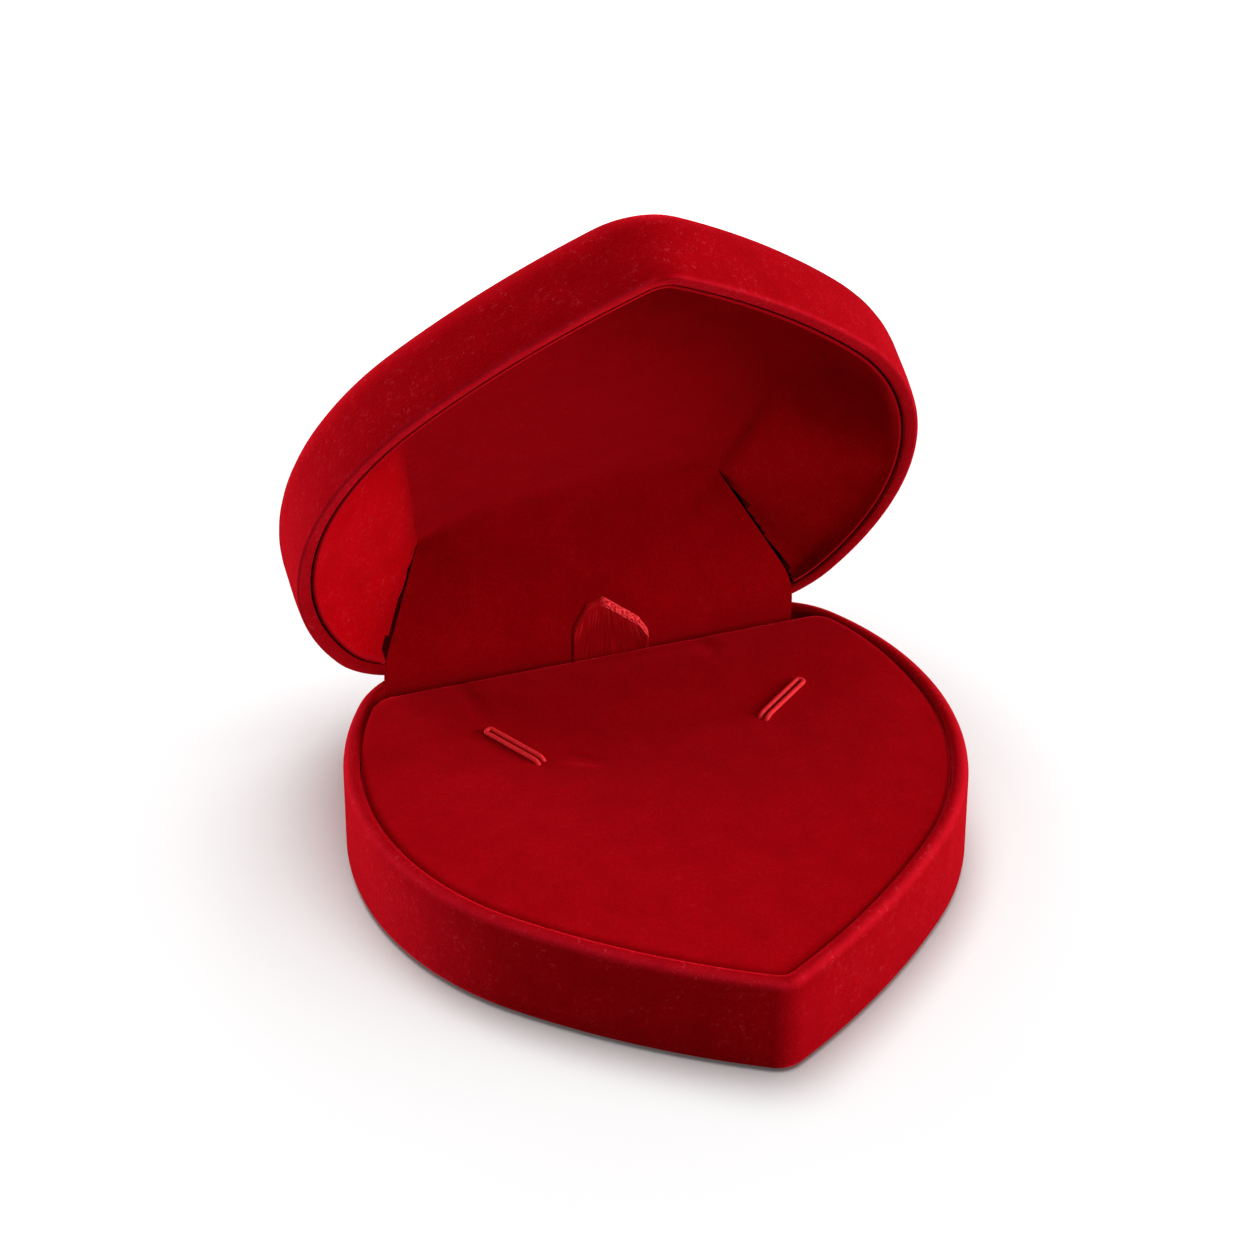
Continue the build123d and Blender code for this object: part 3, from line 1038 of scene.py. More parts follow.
def velvet_material(name, finishes, lint_share, relief_strength):
    """Short-pile velvet: speckled tufts, cloudy patches of tone, pale lint, painted highlights along marked
    rim edges, painted light on marked lining panels, and a sheen along the surface.
    """
    sheet = MaterialSheet(name)
    pile = finishes.velvet
    tufts = sheet.noise(2600.0, 3.0, 0.7)
    clouds = sheet.noise(160.0, 4.0, 0.55)
    ground = sheet.ramp(tufts, 0.36, 0.66, finishes.velvet_deep, pile)
    cloudy = sheet.ramp(clouds, 0.3, 0.75, shaded(pile, 0.8), shaded(pile, 1.12))
    painted_light_share = sheet.attribute("painted_light")
    colour = sheet.mix(0.45, ground, cloudy)
    # Painted light: brighter where a lining panel is marked for it.
    colour = sheet.tinted(painted_light_share, colour, PAINTED_LIGHT_GAIN, "MULTIPLY")
    # Painted highlight along the marked rim edges.
    colour = sheet.painted_highlight(colour, clouds, finishes.velvet_painted_highlight)
    linty = sheet.math("ADD", sheet.math("MULTIPLY", painted_light_share, PAINTED_LIGHT_LINT), lint_share)
    colour = sheet.lint(colour, clouds, linty, finishes.lint)
    relief = sheet.bump(clouds, 0.08, 0.002)
    relief = sheet.bump(tufts, relief_strength, 0.0003, relief)
    sheet.paint(colour, relief)
    sheet.set(roughness=0.95, specular_ior_level=0.0)
    sheet.set_sheen(1.0, finishes.velvet_sheen)
    return sheet.material


def cut_edge_material(finishes):
    """Raw edge where velvet has been cut, lighter than its pile: partly the edge's own threads, partly a
    painted highlight along it.
    """
    sheet = MaterialSheet("velvet_cut_edge")
    threads = sheet.noise(3200.0, 2.0, 0.6)
    colour = sheet.ramp(threads, 0.35, 0.7, finishes.velvet, shaded(finishes.velvet, 1.2, 0.002))
    sheet.paint(colour, sheet.bump(threads, 0.4, 0.0002))
    sheet.set(roughness=0.9, specular_ior_level=0.0)
    sheet.set_sheen(0.6, finishes.velvet_sheen)
    return sheet.material


def ribbon_material(finishes):
    """Woven ribbon: fine threads that fan out from the fold, with painted glints on them near the fold, and
    a painted highlight on the ribs along its ridge.
    """
    sheet = MaterialSheet("pull_ribbon")
    deep = shaded(finishes.ribbon, 0.65)
    bright = shaded(finishes.ribbon, 1.3, 0.002)
    # Colour of the painted glints on the threads near the fold.
    lit = Vector(bright).lerp(Vector(finishes.ribbon_painted_lustre), 0.3)
    split = sheet.nodes.new("ShaderNodeSeparateXYZ")
    sheet.link(sheet.coords.outputs["UV"], split.inputs["Vector"])
    across = split.outputs["X"]
    along = split.outputs["Y"]
    from_fold = sheet.math("ABSOLUTE", sheet.math("SUBTRACT", along, 0.5))
    fan = sheet.nodes.new("ShaderNodeCombineXYZ")
    spread = sheet.math("ADD", sheet.math("MULTIPLY", from_fold, 1.6), 0.15)
    from_peak = sheet.math("SUBTRACT", across, 0.42)
    sheet.link(sheet.math("MULTIPLY", sheet.math("DIVIDE", from_peak, spread), 60.0), fan.inputs["X"])
    sheet.link(sheet.math("MULTIPLY", along, 9.0), fan.inputs["Y"])
    threads = sheet.noise(1.0, 3.0, 0.6, fan.outputs["Vector"])
    ribs = sheet.noise(1.0, 2.0, 0.5, sheet.stretched_uv(30.0, 34.0))
    body = sheet.ramp(threads, 0.4, 0.72, deep, bright)
    # Painted glints: threads made lighter near the fold.
    painted_glints = sheet.ramp(threads, 0.50, 0.68, finishes.ribbon, lit)
    body = sheet.mix(sheet.fade(from_fold, 0.275, 0.205), body, painted_glints)
    # Painted highlight on the ribs along the fold's ridge.
    painted_lustre = sheet.ramp(ribs, 0.42, 0.58, bright, finishes.ribbon_painted_lustre)
    ridge = sheet.math("MULTIPLY", sheet.fade(from_fold, 0.205, 0.18), sheet.fade(across, 0.34, 0.46))
    relief = sheet.bump(threads, 0.2, 0.0002)
    relief = sheet.bump(sheet.math("MULTIPLY", ribs, ridge), 0.6, 0.0004, relief)
    sheet.paint(sheet.mix(ridge, body, painted_lustre), relief)
    sheet.set(roughness=0.6, specular_ior_level=0.0)
    sheet.set_sheen(0.06, finishes.velvet_sheen)
    return sheet.material


def cord_material(finishes):
    """Satin cover of the elastic cord, with fine fibres."""
    sheet = MaterialSheet("elastic_cord")
    fibres = sheet.noise(4200.0, 3.0, 0.6)
    colour = sheet.ramp(fibres, 0.3, 0.7, shaded(finishes.cord, 0.7), shaded(finishes.cord, 1.3, 0.01))
    sheet.paint(colour, sheet.bump(fibres, 0.25, 0.00015))
    sheet.set(roughness=0.45, specular_ior_level=0.08)
    sheet.set_sheen(0.4, finishes.velvet_sheen)
    return sheet.material


def plain_material(name, low_colour, high_colour, scale, roughness, metallic, relief):
    """Plain material with a fine grain: card, plastic, paper or steel."""
    sheet = MaterialSheet(name)
    grain = sheet.noise(scale, 4.0, 0.6)
    sheet.paint(sheet.ramp(grain, 0.3, 0.7, low_colour, high_colour), sheet.bump(grain, relief, 0.0002))
    sheet.set(roughness=roughness, metallic=metallic, specular_ior_level=0.0)
    return sheet.material


def shell_plastic():
    """Dark red plastic of the two shells."""
    low_colour = (0.03, 0.0005, 0.001)
    high_colour = (0.05, 0.001, 0.002)
    return plain_material("shell_plastic", low_colour, high_colour, 1200.0, 0.55, 0.0, 0.1)


def material_of(name, make):
    """A material by its name, made the first time that it is asked for."""
    return bpy.data.materials.get(name) or make()


def outer_velvet():
    """Velvet of the outside, which picks up lint."""
    finishes = bpy.context.scene.box_finishes
    return material_of("outer_velvet", lambda: velvet_material("outer_velvet", finishes, 0.25, 0.55))


def inner_velvet():
    """Velvet of the lining, the flap and the pad."""
    finishes = bpy.context.scene.box_finishes
    return material_of("inner_velvet", lambda: velvet_material("inner_velvet", finishes, 0.05, 0.2))


def cut_edge():
    """Cut edges of the velvet, with a painted highlight along them."""
    finishes = bpy.context.scene.box_finishes
    return material_of("velvet_cut_edge", lambda: cut_edge_material(finishes))


UNSHADING = "not_in_key_light"


class HEARTBOX_OT_stage(Operator):
    """Set up the camera, the lights and the floor"""

    bl_idname = "heartbox.stage"
    bl_label = "Stage"

    LENS = 123.67
    SENSOR_WIDTH = 36.0
    VIEW_DEPTH = 10.0
    CAMERA_PLACE = (-0.209955, -0.588908, 0.489255)
    CAMERA_RIGHT = (0.94741, -0.32002, 0.0)
    CAMERA_BACK = (-0.26343, -0.77988, 0.56780)
    LAMP_AIM = (0.0, 0.0, 0.04)
    FLOOR_HALF = 3.0
    GLOW_START = 0.09
    GLOW_STOP = 0.42
    GLOW_LEAST = 0.06
    WORLD_STRENGTH = 0.085

    def execute(self, context):
        scene = context.scene
        scene.view_settings.view_transform = "Standard"
        self.add_camera(scene)
        key = self.add_lamp(scene, "key_lamp", (0.79, -0.43, 0.30), 0.5, 11.3)
        rim = self.add_lamp(scene, "rim_lamp", (-0.66, 0.64, 0.18), 0.5, 12.2)
        self.add_lamp(scene, "top_lamp", (0.09, 0.0, 1.0), 1.0, 9.7)
        lower = self.add_lamp(scene, "floor_lamp", (0.02, 0.42, 1.0), 0.7, 6.1)
        floor = self.add_floor(context)
        self.keep(floor, "EXCLUDE", key, rim)
        key.light_linking.blocker_collection = bpy.data.collections.new(UNSHADING)
        self.keep(floor, "INCLUDE", lower)
        self.light_world(scene)
        return {"FINISHED"}

    def add_camera(self, scene):
        """Add the camera, at the photograph's place."""
        camera = bpy.data.objects.new("photo_camera", bpy.data.cameras.new("photo_camera"))
        camera.data.lens = self.LENS
        camera.data.sensor_width = self.SENSOR_WIDTH
        camera.data.clip_end = self.VIEW_DEPTH
        right = Vector(self.CAMERA_RIGHT)
        back = Vector(self.CAMERA_BACK)
        turn = Matrix((right, back.cross(right), back)).transposed().to_4x4()
        camera.matrix_world = Matrix.Translation(self.CAMERA_PLACE) @ turn
        scene.collection.objects.link(camera)
        scene.camera = camera

    def add_lamp(self, scene, name, place, size, power):
        """Add a soft square lamp that looks at the box."""
        lamp = bpy.data.objects.new(name, bpy.data.lights.new(name, "AREA"))
        lamp.data.size = size
        lamp.data.energy = power
        lamp.location = place
        aim = Vector(self.LAMP_AIM) - Vector(place)
        lamp.rotation_euler = aim.to_track_quat("-Z", "Y").to_euler()
        scene.collection.objects.link(lamp)
        return lamp

    def keep(self, floor, state, *lamps):
        """Keep lamps off the floor, or on it alone, so that its shadows are soft and come from above."""
        linked = bpy.data.collections.new("floor_" + state.lower())
        linked.objects.link(floor)
        linked.collection_objects[0].light_linking.link_state = state
        for lamp in lamps:
            lamp.light_linking.receiver_collection = linked

    def seen_directly(self, nodes, links):
        """One for rays that the camera sees, straight or in a mirror or glass."""
        path = nodes.new("ShaderNodeLightPath")
        either = nodes.new("ShaderNodeMath")
        either.operation = "MAXIMUM"
        links.new(path.outputs["Is Camera Ray"], either.inputs[0])
        links.new(path.outputs["Is Glossy Ray"], either.inputs[1])
        seen = nodes.new("ShaderNodeMath")
        seen.operation = "MAXIMUM"
        links.new(either.outputs["Value"], seen.inputs[0])
        links.new(path.outputs["Is Transmission Ray"], seen.inputs[1])
        return seen.outputs["Value"]

    def add_floor(self, context):
        """Add a pale floor that shows white away from the box and keeps its shadow."""
        bm = bmesh.new()
        bmesh.ops.create_grid(bm, x_segments=1, y_segments=1, size=self.FLOOR_HALF)
        floor = add_piece("floor", bm, [])
        sheet = MaterialSheet("pale_floor")
        sheet.shader.inputs["Base Color"].default_value = (*context.scene.box_finishes.floor, 1.0)
        sheet.set(roughness=1.0, specular_ior_level=0.0)
        glow = sheet.nodes.new("ShaderNodeEmission")
        seen = self.seen_directly(sheet.nodes, sheet.links)
        reach = sheet.nodes.new("ShaderNodeVectorMath")
        reach.operation = "LENGTH"
        sheet.link(sheet.coords.outputs["Object"], reach.inputs[0])
        rising = sheet.fade(reach.outputs["Value"], self.GLOW_START, self.GLOW_STOP)
        glowing = sheet.math("ADD", rising, self.GLOW_LEAST)
        sheet.link(sheet.math("MULTIPLY", seen, glowing), glow.inputs["Strength"])
        both = sheet.nodes.new("ShaderNodeAddShader")
        sheet.link(sheet.shader.outputs["BSDF"], both.inputs[0])
        sheet.link(glow.outputs["Emission"], both.inputs[1])
        sheet.link(both.outputs["Shader"], sheet.nodes["Material Output"].inputs["Surface"])
        floor.data.materials.append(sheet.material)
        return floor

    def light_world(self, scene):
        """Light the box evenly from a world that the camera sees as white."""
        world = bpy.data.worlds.new("studio")
        world.use_nodes = True
        scene.world = world
        nodes = world.node_tree.nodes
        links = world.node_tree.links
        soft = nodes["Background"]
        soft.inputs["Color"].default_value = (1.0, 1.0, 1.0, 1.0)
        soft.inputs["Strength"].default_value = self.WORLD_STRENGTH
        white = nodes.new("ShaderNodeBackground")
        white.inputs["Color"].default_value = (1.0, 1.0, 1.0, 1.0)
        both = nodes.new("ShaderNodeMixShader")
        links.new(self.seen_directly(nodes, links), both.inputs["Fac"])
        links.new(soft.outputs["Background"], both.inputs[1])
        links.new(white.outputs["Background"], both.inputs[2])
        links.new(both.outputs["Shader"], nodes["World Output"].inputs["Surface"])


LOOP_ROOTS = ((-0.0202, 0.0186), (0.0213, 0.0189))


class HEARTBOX_OT_chain_loops(Operator):
    """Lay the two elastic loops on the pad"""

    bl_idname = "heartbox.chain_loops"
    bl_label = "Chain Loops"

    CORD_LENGTH = 0.048
    PATCH_LEVEL = 0.0108
    PAD_LEVEL = 0.0200
    FIRST_RUN = 0.0054

    def execute(self, context):
        finishes = context.scene.box_finishes
        material = material_of("elastic_cord", lambda: cord_material(finishes))
        left = Vector((*LOOP_ROOTS[0], self.PATCH_LEVEL))
        right = Vector((*LOOP_ROOTS[1], self.PATCH_LEVEL))
        self.lay_loop(context, "left", left, radians(120.5), 0.0148, 0.0005, material)
        self.lay_loop(context, "right", right, radians(38.0), 0.015, 0.0003, material)
        return {"FINISHED"}

    def lay_loop(self, context, side, root, turn, length, rise, material):
        """Lay one loop: up through the pad, along its top, round its end and back."""
        sizes = context.scene.loop_sizes
        along = Vector((cos(turn), sin(turn), 0.0))
        across = Vector((-sin(turn), cos(turn), 0.0)) * (sizes.spacing / 2)
        along.z = rise / length
        near = Vector((root.x, root.y, self.PAD_LEVEL))
        straight = near + along * self.FIRST_RUN
        bend = near + along * (length - sizes.spacing)
        far = near + along * length
        route = [root + across, near + across, straight + across, bend + across, far + across]
        route += [far - across, bend - across, straight - across, near - across, root - across]
        curve = bpy.data.curves.new("loop_cord_" + side, "CURVE")
        curve.dimensions = "3D"
        curve.bevel_depth = sizes.diameter / 2
        curve.bevel_resolution = 5
        curve.resolution_u = 16
        curve.use_fill_caps = True
        spline = curve.splines.new("NURBS")
        spline.points.add(len(route) - 1)
        for point, place in zip(spline.points, route):
            point.co = (*place, 1.0)
        spline.order_u = 3
        spline.use_endpoint_u = True
        curve.materials.append(material)
        cord = bpy.data.objects.new("loop_cord_" + side, curve)
        context.scene.collection.objects.link(cord)
        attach(cord, "pad")
        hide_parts("chain_loop_" + side)


class HEARTBOX_OT_base_cover(Operator):
    """Draw the velvet over the base"""

    bl_idname = "heartbox.base_cover"
    bl_label = "Base Velvet"

    # Reach of the painted highlight along the rim's edge.
    PAINTED_HIGHLIGHT_REACH = 0.0016
    NOTCH_LIP = 0.051
    NOTCH_FOOT = 0.002

    def execute(self, context):
        line = HeartLine(context.scene.heart_outline)
        sizes = context.scene.base_sizes
        bm = bmesh.new()
        inner = line.points(sizes.rim_width)
        outer = line.points(0.0)
        ring = start_ring(bm, at_level(inner, sizes.height - sizes.lip_depth))
        inner_rim = ring = next_ring(bm, ring, at_level(inner, sizes.height))
        outer_rim = ring = next_ring(bm, ring, at_level(outer, sizes.height))
        foot = ring = next_ring(bm, ring, at_level(outer, sizes.hem_level))
        next_ring(bm, ring, at_level(line.points(sizes.hem_width), sizes.hem_level))
        round_over(bm, inner_rim, sizes.rim_inner_round, INNER_RIM_SEGMENTS)
        round_over(bm, outer_rim, sizes.rim_round, RIM_SEGMENTS)
        round_over(bm, foot, sizes.foot_round, RIM_SEGMENTS)
        face_outwards(bm)
        # Mark the rim's edge for a painted highlight.
        mark_painted_highlight(bm, line, 0.0, sizes.height, -1, self.PAINTED_HIGHLIGHT_REACH)
        cut_notch(bm, sizes.notch_width, sizes.notch_floor, lambda place: self.in_notch(place, sizes))
        border(bm)
        cover = add_piece("base_velvet_cover", bm, [outer_velvet(), cut_edge()])
        thicken(cover, sizes.velvet)
        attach(cover, "base")
        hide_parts("base_velvet")
        return {"FINISHED"}

    def in_notch(self, place, sizes):
        """Whether a place at the rear lies over the notch's floor, or on the velvet turned in behind it."""
        turned_in = place.y < self.NOTCH_LIP and place.z > sizes.hem_level + self.NOTCH_FOOT
        return place.z > sizes.notch_floor or turned_in


class HEARTBOX_OT_lid_cover(Operator):
    """Draw the velvet over the lid"""

    bl_idname = "heartbox.lid_cover"
    bl_label = "Lid Velvet"

    # Reach of the painted highlight along the rim's edge.
    PAINTED_HIGHLIGHT_REACH = 0.0007
    NOTCH_LIP = 0.0544
    NOTCH_DEPTH = 0.007
    WALL_STEPS = 10
    CROWN_STEPS = 9
    CROWN_POLE = 0.005
    CROWN_SHARES = (0.75, 0.5, 0.25, 0.1)

    def execute(self, context):
        line = HeartLine(context.scene.heart_outline)
        sizes = context.scene.lid_sizes
        base = context.scene.base_sizes
        rim_inset = self.wall_inset(sizes, sizes.rim)
        inner = line.points(sizes.lip_inset)
        outer = line.points(rim_inset)
        bm = bmesh.new()
        ring = start_ring(bm, at_level(inner, sizes.rim + sizes.lip_depth))
        inner_rim = ring = next_ring(bm, ring, at_level(inner, sizes.rim + sizes.rim_slope))
        outer_rim = ring = next_ring(bm, ring, at_level(outer, sizes.rim))
        self.draw_crown(bm, line, sizes, ring, 0.0)
        round_over(bm, inner_rim, sizes.rim_inner_round, INNER_RIM_SEGMENTS)
        round_over(bm, outer_rim, sizes.rim_round, RIM_SEGMENTS)
        face_outwards(bm)
        # Mark the rim's edge for a painted highlight.
        mark_painted_highlight(bm, line, rim_inset, sizes.rim, 1, self.PAINTED_HIGHLIGHT_REACH)
        cut_notch(bm, base.notch_width, sizes.notch_top, lambda place: self.in_notch(place, sizes))
        turn_open(bm, sizes.open_angle)
        border(bm)
        cover = add_piece("lid_velvet_cover", bm, [outer_velvet(), cut_edge()])
        thicken(cover, base.velvet)
        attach(cover, "lid")
        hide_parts("lid_velvet")
        self.add_moulding(line, sizes, base)
        return {"FINISHED"}

    def add_moulding(self, line, sizes, base):
        """Add the moulded shell under the velvet."""
        bm = bmesh.new()
        level = sizes.rim + base.velvet
        foot = at_level(line.points(self.wall_inset(sizes, level) + base.velvet), level)
        self.draw_crown(bm, line, sizes, start_ring(bm, foot), base.velvet)
        face_outwards(bm)
        cut_notch(bm, base.notch_width, sizes.notch_top, lambda place: self.in_notch(place, sizes))
        turn_open(bm, sizes.open_angle)
        moulding = add_piece("lid_shell_moulding", bm, [material_of("shell_plastic", shell_plastic)])
        thicken(moulding, sizes.shell)
        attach(moulding, "lid")
        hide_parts("lid_shell")

    def wall_inset(self, sizes, height):
        """Inset of the wall's face at a height: it swells out a little over the rim."""
        rise = min((height - sizes.rim) / sizes.belly_height, 1.0)
        return sizes.belly * (1 - rise) ** 2 - sizes.overhang

    def draw_crown(self, bm, line, sizes, ring, depth):
        """Draw the lid's wall and its rounded crown, at a depth under the face of the velvet."""
        radius = sizes.top_round - depth
        outer = depth - sizes.overhang
        foot = ring[0].co.z
        spring = sizes.rim + sizes.height - sizes.top_round
        for step in range(1, self.WALL_STEPS):
            share = step / self.WALL_STEPS
            ease = sizes.tip_ease * eased(share)
            height = foot + share * (spring - foot)
            inset = self.wall_inset(sizes, height) + depth
            ring = next_ring(bm, ring, at_level(line.points(inset, ease), height))
        for step in range(self.CROWN_STEPS + 1):
            turn = step * pi / (2 * self.CROWN_STEPS)
            place = line.points(outer + radius * (1 - cos(turn)), sizes.tip_ease)
            ring = next_ring(bm, ring, at_level(place, spring + radius * sin(turn)))
        close_in(bm, ring, Vector((0.0, self.CROWN_POLE, spring + radius)), self.CROWN_SHARES)

    def in_notch(self, place, sizes):
        """Whether a place at the rear lies under the notch's top, or on the velvet turned in behind it."""
        turned_in = place.y < self.NOTCH_LIP and place.z < sizes.rim + self.NOTCH_DEPTH
        return place.z < sizes.notch_top or turned_in


LEFT_PANEL_FADE = (-0.008, 0.015)
RIGHT_PANEL_FADE = (0.001, 0.020)


class FoldEnd:
    """One end of the fold, from which a slit runs to the rim and a crease runs up the ceiling."""

    def __init__(self, side, place, crease, slit, fade):
        self.side = side
        self.place = Vector((place[0], place[1], 0.0))
        self.crease = Vector((side * sin(crease), -cos(crease), 0.0))
        self.slit = Vector((side * sin(slit), cos(slit), 0.0))
        self.fade = fade

    def across(self, direction):
        """Level direction square to another, away from the middle of the heart."""
        forwards = direction.y / abs(direction.y)
        return self.side * Vector((abs(direction.y), -direction.x * forwards, 0.0))

    def outside(self, place, direction):
        """Whether a place lies past a line from the fold's end, away from the middle."""
        return (place - self.place).dot(self.across(direction)) > 0.0

    def crease_inset(self, line, y):
        """Inset of the crease at a distance along the heart."""
        run = max(self.place.y - y, 0.0) / -self.crease.y
        point = self.place + run * self.crease
        return line.inset_of(point.x, point.y)

    def share(self, y):
        """Share of the flat panel in the lining's shape, which dies away towards the tip."""
        start, stop = self.fade
        return eased((y - start) / (stop - start))


def fold_ends(flap):
    """Both ends of the fold."""
    left = FoldEnd(-1, flap.fold_left, flap.left_crease, flap.left_slit, LEFT_PANEL_FADE)
    right = FoldEnd(1, flap.fold_right, flap.right_crease, flap.right_slit, RIGHT_PANEL_FADE)
    return left, right


class HEARTBOX_OT_lid_lining(Operator):
    """Shape the dished lining of the lid"""

    bl_idname = "heartbox.lid_lining"
    bl_label = "Lid Lining"

    # Reach of the painted highlight along the rim's edge.
    PAINTED_HIGHLIGHT_REACH = 0.0007
    CREASE_ANGLE = 26.0
    SHUT_SHARE = 0.5
    ROLL_STEPS = 12
    ROLL_MARGIN = 0.0022
    CEILING_RINGS = 20
    CEILING_POLE = 0.002
    PANEL_LIP = 0.0015
    HAIR = 1e-5

    def execute(self, context):
        line = HeartLine(context.scene.heart_outline)
        sizes = context.scene.lid_sizes
        ends = fold_ends(context.scene.flap_sizes)
        bm = bmesh.new()
        self.draw_dish(bm, line, sizes)
        # Layer that marks where painted light brightens the lining's panels.
        painted_light = bm.verts.layers.float.new("painted_light")
        for end in ends:
            cut(bm, end.place, end.across(end.crease))
            self.draw_panel(bm, line, sizes, end, painted_light)
        self.cut_tongue(bm, ends)
        # Mark the lining's edge for a painted highlight.
        mark_painted_highlight(bm, line, sizes.lining_inset, sizes.lining_edge, 1, self.PAINTED_HIGHLIGHT_REACH)
        turn_open(bm, sizes.open_angle)
        border(bm)
        finish = [inner_velvet(), cut_edge()]
        lining = add_piece("lid_lining_velvet_face", bm, finish, self.CREASE_ANGLE)
        thicken(lining, context.scene.base_sizes.velvet, 1)
        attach(lining, "lid")
        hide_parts("lid_lining_velvet")
        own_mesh(lining)
        return {"FINISHED"}

    def draw_dish(self, bm, line, sizes):
        """Draw the plain dish: a low wall, a roll and the ceiling."""
        ring = start_ring(bm, at_level(line.points(sizes.lining_inset), sizes.lining_edge))
        for step in range(self.ROLL_STEPS + 1):
            turn = step * pi / 2 / self.ROLL_STEPS
            inset = sizes.lining_inset + sizes.roll_radius * (1 - cos(turn))
            height = sizes.ceiling - sizes.roll_radius * (1 - sin(turn))
            ring = next_ring(bm, ring, at_level(line.points(inset), height))
        inset = sizes.lining_inset + sizes.roll_radius + self.ROLL_MARGIN
        ring = next_ring(bm, ring, at_level(line.points(inset), sizes.ceiling))
        close_in(bm, ring, Vector((0.0, self.CEILING_POLE, sizes.ceiling)), ring_shares(self.CEILING_RINGS))
        face_outwards(bm)
        top = max(bm.faces, key=lambda face: face.calc_center_median().z)
        flip_if(bm, top.normal.z > 0)

    def draw_panel(self, bm, line, sizes, end, painted_light):
        """Draw the lining out flat between a slit and the rim, creased where the slit ends, and mark the
        panel for painted light that fades in from the crease.
        """
        depth = sizes.ceiling - sizes.lining_edge - self.PANEL_LIP
        aside = Vector((end.side * self.HAIR, 0.0, 0.0))
        for vert in bm.verts:
            share = end.share(vert.co.y)
            wanted = share > 0.0 and vert.co.z > sizes.lining_edge + self.HAIR
            edge = end.crease if vert.co.y < end.place.y else end.slit
            if not wanted or not end.outside(vert.co + aside, edge):
                continue
            crease = end.crease_inset(line, vert.co.y)
            inset = line.inset_of(vert.co.x, vert.co.y)
            run = clamped((crease - inset) / (crease - sizes.lining_inset))
            height = sizes.ceiling - depth * (0.9 * run + 0.1 * run**3)
            vert.co.z += share * (height - vert.co.z)
            # Painted light on the panel, fading in from the crease.
            vert[painted_light] = share * min(run * 8.0, 1.0)

    def cut_tongue(self, bm, ends):
        """Cut the tongue free along its slits and its fold."""
        left, right = ends
        fold = right.place - left.place
        rearwards = Vector((-fold.y, fold.x, 0.0))
        cut(bm, left.place, rearwards)
        for end in ends:
            cut(bm, end.place, end.across(end.slit))
        remove_faces(
            bm,
            lambda place: (place - left.place).dot(rearwards) > 0.0
            and not left.outside(place, left.slit)
            and not right.outside(place, right.slit),
        )


def let_light_past(piece):
    """Let the key lamp's light past a thin piece, to the velvet behind it."""
    unshaded = bpy.data.collections[UNSHADING]
    unshaded.objects.link(piece)
    for item in unshaded.collection_objects:
        item.light_linking.link_state = "EXCLUDE"


def steps_between(start, stop, steps):
    """Points from a start to a stop, with both."""
    return [start.lerp(stop, step / steps) for step in range(steps + 1)]


def soft_corner(before, at, after, trim, steps):
    """Points of a line's rounded corner, from a little before it to a little after."""
    start = at + (before - at).normalized() * trim
    stop = at + (after - at).normalized() * trim
    shares = [step / steps for step in range(steps + 1)]
    return [start.lerp(at, share).lerp(at.lerp(stop, share), share) for share in shares]


